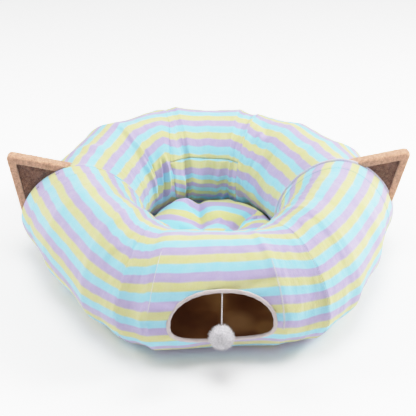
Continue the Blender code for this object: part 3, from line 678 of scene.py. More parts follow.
def lining_material():
    tree = Tree("brown_lining", Roughness=0.42, Sheen_Weight=0.25, Specular_IOR_Level=0.5)
    place = tree.add("TexCoord", output=3)
    stops = [(0.36, (0.170, 0.060, 0.026)), (0.52, (0.300, 0.125, 0.045)), (0.66, (0.560, 0.310, 0.110))]
    colour = tree.ramp(tree.noise(place, 9, 2), stops)
    # A painted pool of light: round one spot on the far wall, seen through the entrance, the lining turns a
    # light gold-brown.
    spot = tree.add("VectorMath", 1, {0: place, 1: PAINTED_LIGHT_SPOT}, operation="DISTANCE")
    painted_light_pool = tree.ramp(spot, [(0.015, (1, 1, 1)), (0.045, (0, 0, 0))])
    colour = tree.mix(painted_light_pool, colour, (0.62, 0.36, 0.15, 1))
    # The lining is lit by painted light: a little emission brightens it, though it is no lamp.
    tree.set(tree.shader, {"Base Color": colour, "Emission Color": colour, "Emission Strength": LINING_PAINTED_LIGHT})
    weave = tree.noise(place, 1500, 2)
    tree.set(tree.shader, {"Normal": tree.bump(weave, 0.0002, 0.5)})
    return tree.material


def tape_material(name, colour, scale=900, mottling=60, depth=0.86):
    tree = Tree(name, Roughness=0.8, Sheen_Weight=0.2)
    place = tree.add("TexCoord", output=3)
    mottle = tree.noise(place, mottling, 3)
    dark = tuple(part * depth for part in colour)
    tree.set(tree.shader, {"Base Color": tree.ramp(mottle, [(0.3, dark), (0.7, colour)])})
    ribs = tree.noise(place, scale, 2)
    tree.set(tree.shader, {"Normal": tree.bump(ribs, 0.0004, 0.6)})
    return tree.material


def plush_material(name, dark, light, scale=420):
    tree = Tree(name, Roughness=0.95, Sheen_Weight=0.5, Sheen_Roughness=0.5, Specular_IOR_Level=0.15)
    place = tree.add("TexCoord", output=3)
    clumps = tree.noise(place, 130, 4, 0.65)
    tufts = tree.noise(place, scale, 3, 0.7)
    tone = tree.math("ADD", tree.math("MULTIPLY", clumps, 0.55), tree.math("MULTIPLY", tufts, 0.45))
    tree.set(tree.shader, {"Base Color": tree.ramp(tone, [(0.36, dark), (0.62, light)])})
    tree.set(tree.shader, {"Normal": tree.bump(tone, 0.0022, 0.8)})
    return tree.material


# The cloth panels


def entrance_dip(points):
    """The cloth is drawn in a little beside the entrance's binding."""
    across = np.abs(points[..., 0] - ENTRANCE_X + BED_MIDDLE[0]) / (ENTRANCE_WIDTH / 2)
    above = points[..., 2] > ENTRANCE_WIDEST
    reach = np.where(above, ENTRANCE_TOP - ENTRANCE_WIDEST, ENTRANCE_WIDEST - ENTRANCE_FOOT)
    power = np.where(above, ENTRANCE_TOP_POWER, ENTRANCE_FOOT_POWER)
    up = np.abs(points[..., 2] - ENTRANCE_WIDEST) / reach
    distance = ((across**power + up**power) ** (1 / power) - 1) * OUTLINE_SCALE
    on_front = points[..., 1] < -0.3
    pucker = soft_noise(np.arctan2(up, across) * 9, distance * 0, 17) * DIP_PUCKER
    return on_front * (pucker - DIP_DEPTH) * bell(np.maximum(distance, 0), DIP_REACH)


def panel_lift(place, arc, plain, base_lift, edges, row=None):
    """How far the dressed cloth stands out of the plain tube. The row counts from the sewn edges."""
    row = place if row is None else row
    lift = base_lift(row) + crease_lift(place, arc) + wrinkle_lift(place, arc)
    for number, edge in enumerate(edges):
        distance = np.abs(row - edge) * span_length(min(edge, len(STATIONS) - 1.01))
        lift = lift + edge_lift(distance, arc, number + round(edge) + 5)
    if LEFT_SEAM in edges and RIGHT_SEAM in edges:
        lift = lift + entrance_dip(plain)
    return lift * off_floor(plain)


def off_floor(points):
    return np.clip(points[..., 2] / FLOOR_FADE, 0, 1)


def panel_grids(places, turns, drift, base_lift, edges):
    """Outer and inner points and the cloth's uv for a panel. Edges are the sewn places."""
    row, turn = np.meshgrid(places, turns, indexing="ij")
    place = row + seam_slant(row, turn)
    plain = cloth_points(place, turn)
    arc = arcs_of(plain, turns)
    lift = panel_lift(place, arc, plain, base_lift, edges, row)
    outside = cloth_points(place, turn, lift)
    inside = cloth_points(place, turn, lift - CLOTH_BACK)
    return outside, inside, stripe_uv(place, arc, drift)


def full_turns(count=AROUND):
    return np.linspace(-math.pi / 2, 1.5 * math.pi, count + 1)


def tube_panel(name, start, end, drift, base_lift, material, edges=None, extra=(), gaps=None, hem=None):
    """A panel that goes right round the tube. Without edges it is sewn at both ends."""
    places = piece_rows(start, end, *(gaps or (SEAM_GAP / 2, SEAM_GAP / 2)), extra)
    outside, inside, uv = panel_grids(places, full_turns(), drift, base_lift, edges or (start, end))
    made = shell(name, outside[:, :-1], inside[:, :-1], uv, True, material)
    if hem:
        shift_hem(made, places, *hem)
    flat_size(made, outside)
    return made


def shift_hem(made, places, line, side, shift):
    """The hem is cloth turned back, so its stripes lie shifted. Faces come row by row."""
    layer = made.data.uv_layers["cloth"]
    values = np.zeros(len(layer.data) * 2)
    layer.data.foreach_get("uv", values)
    values = values.reshape(-1, 4, 2)
    middles = (places[:-1] + places[1:]) / 2
    within = middles < line if side < 0 else middles > line
    rows = np.repeat(within, AROUND)
    count = len(rows)
    values[:count][rows, :, 1] -= shift
    layer.data.foreach_set("uv", values.reshape(-1))


def flat_size(made, grid):
    """Remembers the panel's cut size: its longest way along and round."""
    along = np.linalg.norm(np.diff(grid, axis=0), axis=-1).sum(axis=0).max()
    around = np.linalg.norm(np.diff(grid, axis=1), axis=-1).sum(axis=1).max()
    made["cut"] = (float(around), float(along))


def declare_sheet(made):
    del made["cut"]


def hem_lift(place):
    left = (place - LEFT_RIM) * span_length(LEFT_RIM)
    right = (RIGHT_RIM - place) * span_length(RIGHT_RIM - 1)
    near = np.minimum(left, right)
    step = (1 - np.tanh((near - HEM_WIDTH) / HEM_STEP / 2)) / 2
    return HEM_RISE * step - HEM_GROOVE_DEPTH * bell(near - HEM_WIDTH + HEM_STITCH, HEM_GROOVE)


def rear_lift(place):
    nearest = np.minimum(place - RIGHT_RIM, LEFT_RIM_AGAIN - place)
    return -REAR_DEPTH * np.maximum(0, 1 - nearest)


def hem_rows(line, scale):
    return [line + step / scale for step in HEM_STEPS]


def make_front_panels(stripes):
    left_scale, right_scale = span_length(LEFT_RIM), span_length(RIGHT_RIM - 1)
    left_line, right_line = LEFT_RIM + HEM_WIDTH / left_scale, RIGHT_RIM - HEM_WIDTH / right_scale
    left = tube_panel(
        "front_left_cloth", LEFT_RIM, LEFT_SEAM, FRONT_LEFT_DRIFT, hem_lift, stripes,
        extra=hem_rows(left_line, left_scale), hem=(left_line, -1, HEM_SHIFT_LEFT),
    )
    centre = tube_panel(
        "front_centre_cloth", LEFT_SEAM, RIGHT_SEAM, FRONT_CENTRE_DRIFT, hem_lift, stripes,
        extra=np.linspace(4, 5, 41),
    )
    right = tube_panel(
        "front_right_cloth", RIGHT_SEAM, RIGHT_RIM, FRONT_RIGHT_DRIFT, hem_lift, stripes,
        extra=hem_rows(right_line, right_scale), hem=(right_line, 1, HEM_SHIFT_RIGHT),
    )
    return left, centre, right


def make_rear_panels(stripes):
    rim_gap, seam_gap = JOIN_BAND_WIDTH + SEAM_GAP, SEAM_GAP / 2
    right = tube_panel(
        "rear_right_cloth", RIGHT_RIM, REAR_RIGHT_SEAM, REAR_RIGHT_DRIFT, rear_lift, stripes,
        edges=(REAR_RIGHT_SEAM,), gaps=(rim_gap, seam_gap),
    )
    left = tube_panel(
        "rear_left_cloth", REAR_LEFT_SEAM, LEFT_RIM_AGAIN, REAR_LEFT_DRIFT, rear_lift, stripes,
        edges=(REAR_LEFT_SEAM,), gaps=(seam_gap, rim_gap),
    )
    places = piece_rows(REAR_RIGHT_SEAM, REAR_LEFT_SEAM, seam_gap, seam_gap)
    foot, seam = WALL_FOOT_TURN - SEAM_TURN, WALL_SEAM_TURN - SEAM_TURN
    top_turns = np.linspace(foot - 2 * math.pi + 2 * SEAM_TURN, seam, CROWN_STEPS)
    wall_turns = np.linspace(seam + 2 * SEAM_TURN, foot, WALL_STEPS)
    centre = open_panel("rear_centre_cloth", places, top_turns, REAR_CENTRE_DRIFT, stripes)
    wall = open_panel("rear_inner_wall_cloth", places, wall_turns, INNER_WALL_DRIFT, stripes, WALL_TUCK)
    return right, centre, wall, left


def open_panel(name, places, turns, drift, stripes, tuck=0.0):
    """A panel that covers part of the section, sewn along the level wall seam."""
    row, turn = np.meshgrid(places, turns, indexing="ij")
    place = row + seam_slant(row, turn)
    whole = full_turns()
    all_rows, all_turns = np.meshgrid(places, whole, indexing="ij")
    whole_arcs = arcs_of(cloth_points(all_rows + seam_slant(all_rows, all_turns), all_turns), whole)
    low = turns < -math.pi / 2
    arc = np.stack([np.interp(np.where(low, turns + 2 * math.pi, turns), whole, line) for line in whole_arcs])
    arc = arc + np.where(low[None, :], whole_arcs[:, :1] - whole_arcs[:, -1:], 0)
    lift = rear_lift(row) + crease_lift(place, arc) + wrinkle_lift(place, arc)
    for number, edge in enumerate((REAR_RIGHT_SEAM, REAR_LEFT_SEAM)):
        lift = lift + edge_lift(np.abs(row - edge) * span_length(edge), arc, number + edge + 5)
    seam_arc = np.stack([np.interp(WALL_SEAM_TURN, whole, line) for line in whole_arcs])[:, None]
    lift = lift + edge_lift(np.abs(arc - seam_arc), place * PLACE_LENGTH, 3) * WALL_SEAM_ROLL
    lift = lift * off_floor(cloth_points(place, turn))
    outside = cloth_points(place, turn, lift)
    inside = cloth_points(place, turn, lift - CLOTH_BACK)
    uv = stripe_uv(place, arc, drift)
    uv[..., 1] += tuck * np.minimum(arc - TUCK_ARC, 0)
    made = shell(name, outside, inside, uv, False, stripes)
    flat_size(made, outside)
    return made


def make_join_bands(stripes, pale):
    """The right band is a padded strip with one pale stripe, and shows past the hem. The left one is flat."""
    turns = full_turns()
    bands = []
    for name, rim, side in (("right_join_cloth", RIGHT_RIM, 1), ("left_join_cloth", LEFT_RIM_AGAIN, -1)):
        scale = span_length(rim if side > 0 else rim - 1)
        steps = (SEAM_GAP / 2, JOIN_BAND_WIDTH - SEAM_GAP / 2)
        first, last = sorted(rim + side * step / scale for step in steps)
        place, turn = np.meshgrid(np.linspace(first, last, 9), turns, indexing="ij")
        plain = cloth_points(place, turn)
        arc = arcs_of(plain, turns)
        across = np.clip((place - first) / (last - first), 0, 1)
        if side > 0:
            lift = JOIN_RISE * np.sin(math.pi * across**0.6) - JOIN_SINK
            uv = np.stack([arc, (place - first) * scale * 0.2 + 0.004 + arc * 0.02], -1)
        else:
            lift = LEFT_JOIN_RISE * bow(across) ** 0.7 - LEFT_JOIN_SINK
            uv = np.stack([place * PLACE_LENGTH, arc * 0.8], -1)
        lift = lift * off_floor(plain)
        outside, inside = cloth_points(place, turn, lift), cloth_points(place, turn, lift - CLOTH_BACK)
        band = shell(name, outside[:, :-1], inside[:, :-1], uv, True, pale if side > 0 else stripes)
        flat_size(band, outside)
        bands.append(band)
    return bands


# The thread


def across_axes(ways):
    """Two directions square to each way and to each other."""
    helper = np.where(np.abs(ways[:, 2:3]) < 0.9, [[0.0, 0.0, 1.0]], [[1.0, 0.0, 0.0]])
    side = np.cross(ways, helper)
    side /= np.linalg.norm(side, axis=1)[:, None]
    return side, np.cross(ways, side)


def stitches(name, starts, ends, radius, material):
    """Short rounded stitches, each from its start to its end."""
    way = ends - starts
    length = np.linalg.norm(way, axis=1)[:, None]
    way = way / length
    side, other = across_axes(way)
    sides = 6
    rings = []
    for share, thick in ((0.0, 0.4), (0.15, 1.0), (0.85, 1.0), (1.0, 0.4)):
        for corner in range(sides):
            turn = 2 * math.pi * corner / sides
            around = (side * math.cos(turn) + other * math.sin(turn)) * radius * thick
            rings.append(starts + way * length * share + around)
    points = np.stack(rings, 1).reshape(-1, 3)
    faces = []
    for index in range(len(starts)):
        base = index * 4 * sides
        for ring in range(3):
            for corner in range(sides):
                after = (corner + 1) % sides
                low, high = base + ring * sides, base + (ring + 1) * sides
                faces.append((low + corner, low + after, high + after, high + corner))
        faces.append(tuple(base + corner for corner in reversed(range(sides))))
        faces.append(tuple(base + 3 * sides + corner for corner in range(sides)))
    return new_object(name, points, faces, material=material)


def sewn_line(place, arc_start, arc_end, base_lift, edges, above):
    """Points on the dressed cloth at one place, from one arc to another."""
    turns = full_turns(1440)
    places, turn = np.meshgrid([place], turns, indexing="ij")
    plain = cloth_points(places, turn)
    arc = arcs_of(plain, turns)
    lift = panel_lift(places, arc, plain, base_lift, edges) + above
    points = cloth_points(places, turn, lift)[0]
    chosen = (arc[0] >= min(arc_start, arc_end)) & (arc[0] <= max(arc_start, arc_end))
    return points[chosen]


def spaced(points, pitch):
    """Points along a way, one pitch apart."""
    run = np.concatenate([[0], np.cumsum(np.linalg.norm(np.diff(points, axis=0), axis=1))])
    marks = np.arange(pitch / 2, run[-1] - pitch / 2, pitch)
    return marks, lambda at: np.stack([np.interp(at, run, points[:, axis]) for axis in range(3)], -1)


def running_stitch(name, points, pitch, share, radius, material):
    marks, at = spaced(points, pitch)
    return stitches(name, at(marks), at(marks + pitch * share), radius, material)


def zigzag(name, first, second, pitch, radius, material):
    marks, here = spaced(first, pitch)
    _, there = spaced(second, pitch)
    marks = marks[marks < min(marks[-1], spaced(second, pitch)[0][-1])]
    starts = np.concatenate([here(marks), there(marks + pitch / 2)])
    ends = np.concatenate([there(marks + pitch / 2), here(marks + pitch)])
    return stitches(name, starts, ends, radius, material)


def make_threads(white, dark, teal):
    centre = (LEFT_SEAM, RIGHT_SEAM)
    for name, place, start, end in ZIGZAGS:
        width = 0.0023 / span_length(4)
        first = sewn_line(place - width, start, end, hem_lift, centre, 0.0002)
        second = sewn_line(place + width, start, end, hem_lift, centre, 0.0002)
        ride(zigzag(name, first, second, 0.0052, 0.0006, white), "white_yarn")
    line = sewn_line(RIGHT_SEAM - 0.0022 / span_length(RIGHT_SEAM), -0.05, 0.26, hem_lift, centre, 0.0001)
    ride(running_stitch("right_front_stitching", line, 0.0044, 0.6, 0.00040, dark), "binding_tape")
    left_hem = LEFT_RIM + (HEM_WIDTH - HEM_THREAD) / span_length(LEFT_RIM)
    right_hem = RIGHT_RIM - (HEM_WIDTH - HEM_THREAD) / span_length(RIGHT_RIM - 1)
    line = sewn_line(left_hem, -0.26, 0.30, hem_lift, (LEFT_RIM, LEFT_SEAM), 0.0)
    ride(running_stitch("left_hem_stitching", line, 0.0040, 0.62, 0.00035, white), "white_yarn")
    line = sewn_line(right_hem, -0.26, 0.30, hem_lift, (RIGHT_SEAM, RIGHT_RIM), 0.0)
    ride(running_stitch("right_hem_stitching", line, 0.0040, 0.70, 0.0005, teal), "binding_tape")
    line = np.linspace(REAR_RIGHT_SEAM + 0.02, REAR_LEFT_SEAM + 0.32, 240)
    place, turn = np.meshgrid(line, [WALL_SEAM_TURN - 0.012], indexing="ij")
    points = cloth_points(place, turn, rear_lift(place) + 0.0002)[:, 0]
    ride(running_stitch("wall_seam_stitching", points, 0.0036, 0.7, 0.00045, teal), "binding_tape")
    for number, (place, arc) in enumerate(TACKS):
        width = 0.007 / span_length(LEFT_RIM)
        edges = (LEFT_RIM, LEFT_SEAM)
        places = (place, place + width)
        sides = [sewn_line(at, arc - 0.010, arc + 0.010, hem_lift, edges, 0.0002) for at in places]
        tack = zigzag(f"left_tack_{number}", *sides, 0.0050, 0.0004, dark)
        ride(tack, "binding_tape")


# The entrance


def entrance_outline():
    turn = 2 * math.pi * np.arange(ENTRANCE_POINTS) / ENTRANCE_POINTS
    across, up = np.cos(turn), np.sin(turn)
    power = np.where(up > 0, 2 / ENTRANCE_TOP_POWER, 2 / ENTRANCE_FOOT_POWER)
    reach = np.where(up > 0, ENTRANCE_TOP - ENTRANCE_WIDEST, ENTRANCE_WIDEST - ENTRANCE_FOOT)
    x = ENTRANCE_X + np.sign(across) * np.abs(across) ** power * ENTRANCE_WIDTH / 2 - BED_MIDDLE[0]
    return x, ENTRANCE_WIDEST + np.sign(up) * np.abs(up) ** power * reach


def binding_path():
    """The binding's middle line, the wall's normal and the way out of the entrance at each point."""
    x, z = entrance_outline()
    place = np.full(len(x), float(ENTRANCE_PLACE))
    lift = np.full(len(x), -BINDING_DEPTH)
    for _ in range(6):
        low, high = np.full(len(x), -0.35 * math.pi), np.full(len(x), math.pi / 2)
        for _ in range(28):
            turn = (low + high) / 2
            under = cloth_points(place, turn, lift)[:, 2] < z
            low, high = np.where(under, turn, low), np.where(under, high, turn)
        found = cloth_points(place, turn, lift)[:, 0]
        ahead = cloth_points(place + 0.02, turn, lift)[:, 0]
        place = place + 0.02 * (x - found) / (ahead - found)
    point = cloth_points(place, turn, lift)
    sideways = cloth_points(place + 0.02, turn, lift) - cloth_points(place - 0.02, turn, lift)
    upwards = cloth_points(place, turn + 0.01, lift) - cloth_points(place, turn - 0.01, lift)
    normal = np.cross(sideways, upwards)
    normal /= np.linalg.norm(normal, axis=1)[:, None]
    away = np.cross(np.roll(point, -1, 0) - np.roll(point, 1, 0), normal)
    return point, normal, away / np.linalg.norm(away, axis=1)[:, None]


def make_binding(tape):
    """A folded tape: rounded over the edge, with small waves."""
    point, normal, away = binding_path()
    sides = BINDING_SIDES
    rings = []
    for side in range(sides):
        turn = 2 * math.pi * side / sides
        across = math.copysign(abs(math.cos(turn)) ** 0.7, math.cos(turn)) * BINDING_WIDTH / 2
        through = math.copysign(abs(math.sin(turn)) ** 0.8, math.sin(turn)) * BINDING_THICKNESS / 2
        index = np.arange(len(point))
        wave = 0.0003 * np.sin(index * 2 * math.pi * BINDING_WAVES / len(point) + side * 0.4)
        rings.append(point + away * (across + wave)[:, None] + normal * (through * (1 + wave * 150))[:, None])
    grid = np.stack(rings, 1)
    count = len(point)
    a, b = np.meshgrid(np.arange(count), np.arange(sides), indexing="ij")
    a, b = a.reshape(-1), b.reshape(-1)
    after, up = (a + 1) % count, (b + 1) % sides
    faces = np.stack([a * sides + b, after * sides + b, after * sides + up, a * sides + up], -1)
    made = new_object("entrance_tape", grid.reshape(-1, 3), faces.tolist(), material=tape)
    face_outwards(made)
    return made


def face_outwards(made):
    shape = bmesh.new()
    shape.from_mesh(made.data)
    bmesh.ops.recalc_face_normals(shape, faces=shape.faces)
    shape.to_mesh(made.data)
    shape.free()


def entrance_cutter():
    point, normal, away = (part[::CUTTER_STEP] for part in binding_path())
    spread = BINDING_WIDTH / 2 - BINDING_OVERLAP
    outside = point + away * spread + normal * CUTTER_REACH
    inside = point + away * spread - normal * CUTTER_REACH
    count = len(point)
    nose = outside.mean(0) + np.array([0, -CUTTER_REACH, 0])
    points = np.concatenate([outside, inside, [nose, inside.mean(0)]])
    faces = []
    for index in range(count):
        after = (index + 1) % count
        faces.append((index, after, count + after, count + index))
        faces.append((index, after, 2 * count))
        faces.append((count + index, count + after, 2 * count + 1))
    made = new_object("entrance_cutter", points, faces)
    face_outwards(made)
    return made


def cut_entrance(target, cutter):
    cut = target.modifiers.new("entrance", "BOOLEAN")
    cut.operation = "DIFFERENCE"
    cut.object = cutter
    with bpy.context.temp_override(object=target, active_object=target):
        bpy.ops.object.modifier_apply(modifier=cut.name)


def make_lining(brown):
    """The brown lining inside the front half, loose and softly folded."""
    places = piece_rows(LEFT_RIM, RIGHT_RIM, 0.001, 0.001, each=LINING_ROWS)
    turns = full_turns(LINING_AROUND)
    place, turn = np.meshgrid(places, turns, indexing="ij")
    plain = cloth_points(place, turn)
    arc = arcs_of(plain, turns)
    along = place * PLACE_LENGTH
    loose = soft_noise(along / 0.045, arc / 0.16, 21) + 0.5 * soft_noise(along / 0.02, arc / 0.07, 22)
    slack = LINING_LOOSE * np.clip(loose * 0.6 + 0.5, 0, 1) * np.clip(plain[..., 2] / 0.04, 0, 1)
    depth = LINING_DEPTH + slack
    lift = np.minimum(crease_lift(place, arc), 0)
    outside = cloth_points(place, turn, lift - depth)
    inside = cloth_points(place, turn, lift - depth - LINING_THICKNESS)
    uv = np.stack([along, arc], -1)
    made = shell("lining_cloth", outside[:, :-1], inside[:, :-1], uv, True, brown)
    flat_size(made, outside)
    return made


def make_pompom(yarn):
    """Cut yarn ends that stand out from a core."""
    order = np.arange(POMPOM_STRANDS)
    z = 1 - 2 * (order + 0.5) / POMPOM_STRANDS
    flat = np.sqrt(1 - z * z)
    painted_light_pool = math.pi * (3 - math.sqrt(5))
    ways = np.stack([np.cos(painted_light_pool * order) * flat, np.sin(painted_light_pool * order) * flat, z], -1)
    random = np.random.default_rng(7)
    locks = ways[random.integers(0, len(ways), POMPOM_LOCKS)]
    nearest = locks[np.argmax(ways @ locks.T, axis=1)]
    ways = ways * (1 - LOCK_PULL) + nearest * LOCK_PULL + random.normal(0, 0.05, ways.shape)
    ways /= np.linalg.norm(ways, axis=1)[:, None]
    length = POMPOM_RADIUS * (0.97 + random.normal(0, 0.022, len(ways)))
    length *= 1 + 0.03 * soft_noise(ways[:, 0] * 3 + 9, ways[:, 1] * 3 + ways[:, 2] * 2, 5)
    length = np.minimum(length, POMPOM_RADIUS * 1.03)
    bend = random.normal(0, 0.0016, ways.shape)
    middle = np.array(POMPOM_MIDDLE)
    roots = middle + ways * POMPOM_CORE
    made = strands("pompom_yarn", roots, ways, length - POMPOM_CORE, YARN_WIDTH, bend, yarn)
    core_radius = POMPOM_RADIUS * YARN_CORE
    bpy.ops.mesh.primitive_ico_sphere_add(subdivisions=4, radius=core_radius, location=POMPOM_MIDDLE)
    core = bpy.context.active_object
    core.data.materials.append(yarn)
    join(made, core)
    return made


def strands(name, roots, ways, lengths, width, bend, material, segments=3):
    """Many thin three-sided fibres in one mesh."""
    side, other = across_axes(ways)
    rings = []
    for step in range(segments):
        share = step / segments
        centre = roots + ways * (lengths * share)[:, None] + bend * share**2
        thick = width / 2 * (1 - 0.45 * share)
        for turn in (0, 2 * math.pi / 3, 4 * math.pi / 3):
            rings.append(centre + (side * math.cos(turn) + other * math.sin(turn)) * thick)
    rings.append(roots + ways * lengths[:, None] + bend)
    each = len(rings)
    points = np.stack(rings, 1).reshape(-1, 3)
    pattern = []
    for step in range(segments - 1):
        for corner in range(3):
            after = (corner + 1) % 3
            low, high = step * 3, step * 3 + 3
            here, there = low + corner, high + after
            pattern += [(here, low + after, there), (here, there, high + corner)]
    last = (segments - 1) * 3
    pattern += [(last + corner, last + (corner + 1) % 3, each - 1) for corner in range(3)]
    pattern.append((0, 2, 1))
    pattern = np.array(pattern)
    faces = (np.arange(len(roots))[:, None, None] * each + pattern[None]).reshape(-1, 3)
    return new_object(name, points, faces.tolist(), material=material)


def string_route():
    """The route of the part's string: from the binding's inner edge to the pompom."""
    point, _, away = binding_path()
    top = ENTRANCE_POINTS // 4
    binding_face = BINDING_WIDTH / 2 * math.cos(math.pi / 8)
    start = point[top] - away[top] * (binding_face + STRING_TOP_GAP)
    middle = np.array(POMPOM_MIDDLE)
    towards = (start - middle) / np.linalg.norm(start - middle)
    end = middle + towards * (POMPOM_RADIUS - STRING_FOOT_DEPTH)
    share = np.linspace(0, 1, STRING_POINTS)[:, None]
    route = start * (1 - share) + end * share
    route[:, 2] -= STRING_SAG * bow(share[:, 0])
    return route


def make_string(yarn):
    """Two plies twisted round each other."""
    route = string_route()
    along = np.gradient(route, axis=0)
    along /= np.linalg.norm(along, axis=1)[:, None]
    side = np.cross(along, [1.0, 0.0, 0.0])
    side /= np.linalg.norm(side, axis=1)[:, None]
    other = np.cross(along, side)
    marks, given = np.linspace(0, 1, STRING_RINGS), np.linspace(0, 1, len(route))
    dense = np.stack([np.interp(marks, given, route[:, axis]) for axis in range(3)], -1)
    side, other = side[0], other[0]
    points, faces = [], []
    sides = STRING_SIDES
    for ply in (0, 1):
        twist = np.arange(STRING_RINGS) * 2 * math.pi / RINGS_PER_TWIST + ply * math.pi
        aside = np.cos(twist)[:, None] * side + np.sin(twist)[:, None] * other
        centre = dense + aside * STRING_WIDTH * PLY_OFFSET
        first = len(points)
        for index in range(STRING_RINGS):
            for corner in range(sides):
                turn = 2 * math.pi * corner / sides
                around = side * math.cos(turn) + other * math.sin(turn)
                points.append(centre[index] + around * STRING_WIDTH * PLY_RADIUS)
        for index in range(STRING_RINGS - 1):
            for corner in range(sides):
                after = (corner + 1) % sides
                low, high = first + index * sides, first + (index + 1) * sides
                faces.append((low + corner, low + after, high + after, high + corner))
        faces.append(tuple(first + corner for corner in range(sides)))
        faces.append(tuple(first + (STRING_RINGS - 1) * sides + corner for corner in range(sides)))
    made = new_object("pompom_cord", points, faces, material=yarn)
    face_outwards(made)
    return made, route


# The ears

EAR_DEPTH, EAR_BACK, EAR_BORDER = 0.028, 0.015, 0.018
EAR_ROUND, EAR_RECESS_ROUND, EAR_SEAT = 0.009, 0.003, 0.0006
EAR_POINTS, EAR_TIP_POINTS = 28, 10
FUR_LENGTH, FUR_WIDTH, FUR_ROOT = 0.00192, 0.00064, 0.0003
FUR_LEAN = (0, 0, -0.35)
# The ear's rounded border: how far in from its outline, at each depth behind the rim.
EAR_PROFILE = (
    (0.0045, 0.0), (0.0020, 0.0010), (0.0006, 0.0030), (0.0, 0.006), (0.0, 0.014), (0.0, 0.021),
    (0.0014, 0.0262), (0.0055, 0.028),
)
EAR_PANEL_OVERLAP, EAR_PANEL_THICKNESS = 0.001, 0.0045
EAR_PANEL_DEPTH, EAR_PANEL_TIP_DEPTH = 0.0016, 0.0075
Ear = namedtuple("Ear", "name rim towards tip_out tip_up top_turn foot_turn")
EARS = (
    Ear("left", LEFT_RIM_AGAIN, -1, 0.465, 0.271, 77, 5),
    Ear("right", RIGHT_RIM, 1, 0.462, 0.268, 73, 11),
)


def ear_axes(ear):
    out = level_points(STATIONS[ear.rim].azimuth, 1.0)
    return out, np.array([-out[1], out[0]]) * ear.towards


def ear_spots(ear, degrees, depth):
    """Spots just over the cloth, this far behind the rim: distance from the middle and height."""
    turn = np.radians(np.asarray(degrees, float))
    out, behind = ear_axes(ear)
    middle = np.array(BED_MIDDLE)
    place = np.full(turn.shape, float(ear.rim))
    step = ear.towards * 0.02
    for _ in range(4):
        here = (cloth_points(place, turn, EAR_SEAT)[..., :2] + middle) @ behind
        ahead = (cloth_points(place + step, turn, EAR_SEAT)[..., :2] + middle) @ behind
        place = place + step * (depth - here) / (ahead - here)
    point = cloth_points(place, turn, EAR_SEAT)
    return np.stack([(point[..., :2] + middle) @ out, point[..., 2]], -1)


def ear_corner(ear, inset, rounding):
    tip = np.array([ear.tip_out, ear.tip_up])
    to_foot = ear_spots(ear, ear.foot_turn, 0.0) - tip
    to_top = ear_spots(ear, ear.top_turn, 0.0) - tip
    to_foot /= np.linalg.norm(to_foot)
    to_top /= np.linalg.norm(to_top)
    half = math.acos(float(to_foot @ to_top)) / 2
    middle = (to_foot + to_top) / np.linalg.norm(to_foot + to_top)
    corner = tip + middle * inset / math.sin(half)
    centre = corner + middle * rounding / math.sin(half)
    first = np.array([-to_foot[1], to_foot[0]])
    last = np.array([to_top[1], -to_top[0]])
    share = np.linspace(0, 1, EAR_TIP_POINTS)[:, None]
    way = first * (1 - share) + last * share
    return corner, to_foot, to_top, centre + way / np.linalg.norm(way, axis=1)[:, None] * rounding


def meets_cloth(ear, start, direction, depth):
    low, high = ear.foot_turn, ear.top_turn + 20.0

    def aside(degrees):
        gap = ear_spots(ear, degrees, depth) - start
        return direction[0] * gap[1] - direction[1] * gap[0]

    side = math.copysign(1.0, aside(high))
    for _ in range(24):
        degrees = (low + high) / 2
        if aside(degrees) * side > 0:
            high = degrees
        else:
            low = degrees
    return degrees


def ear_point(ear, spots, depth):
    out, behind = ear_axes(ear)
    spots = np.asarray(spots)
    depths = np.broadcast_to(np.asarray(depth, float).reshape(-1, 1), (len(spots), 1))
    flat = spots[..., :1] * out + depths * behind
    return np.concatenate([flat - np.array(BED_MIDDLE), spots[..., 1:]], -1)


def ear_ring(ear, inset, rounding, depth, tip_depth=None):
    """Along the cloth from the top edge to the foot, then round the tip."""
    corner, to_foot, to_top, rounded = ear_corner(ear, inset, rounding)
    top, foot = (meets_cloth(ear, corner, way, depth) for way in (to_top, to_foot))
    along = ear_spots(ear, np.linspace(top, foot, EAR_POINTS), depth)
    depths = np.full(EAR_POINTS + EAR_TIP_POINTS, float(depth))
    if tip_depth is not None:
        depths[EAR_POINTS:] = tip_depth
    return ear_point(ear, np.concatenate([along, rounded]), depths)


def ring_body(name, rings, material):
    count = len(rings[0])
    points = np.concatenate(rings)
    faces = [tuple(range(count)), tuple(range((len(rings) - 1) * count, len(rings) * count))]
    for ring in range(len(rings) - 1):
        for step in range(count):
            after = (step + 1) % count
            here, there = ring * count, (ring + 1) * count
            faces.append((here + step, here + after, there + after, there + step))
    made = new_object(name, points, faces, material=material)
    face_outwards(made)
    return made


def apply_modifiers(target):
    graph = bpy.context.evaluated_depsgraph_get()
    mesh = bpy.data.meshes.new_from_object(target.evaluated_get(graph), depsgraph=graph)
    target.modifiers.clear()
    target.data = mesh


def soften(target, voxel, rounds):
    """Evens the mesh and rounds its edges, as stuffing does."""
    remesh = target.modifiers.new("even", "REMESH")
    remesh.mode, remesh.voxel_size, remesh.use_smooth_shade = "VOXEL", voxel, True
    smooth = target.modifiers.new("round", "SMOOTH")
    smooth.factor, smooth.iterations = 0.5, rounds
    apply_modifiers(target)


def mesh_samples(made, count, seed):
    """Points spread evenly over a mesh, with the way out at each."""
    mesh = made.data
    mesh.calc_loop_triangles()
    corners = np.zeros(len(mesh.loop_triangles) * 3, int)
    mesh.loop_triangles.foreach_get("vertices", corners)
    points = np.zeros(len(mesh.vertices) * 3)
    mesh.vertices.foreach_get("co", points)
    a, b, c = (points.reshape(-1, 3)[corners.reshape(-1, 3)[:, index]] for index in range(3))
    cross = np.cross(b - a, c - a)
    area = np.linalg.norm(cross, axis=1)
    random = np.random.default_rng(seed)
    chosen = random.choice(len(area), count, p=area / area.sum())
    u, v = random.random(count), random.random(count)
    over = u + v > 1
    u[over], v[over] = 1 - u[over], 1 - v[over]
    a, b, c = a[chosen], b[chosen], c[chosen]
    return a + (b - a) * u[:, None] + (c - a) * v[:, None], cross[chosen] / area[chosen][:, None], random


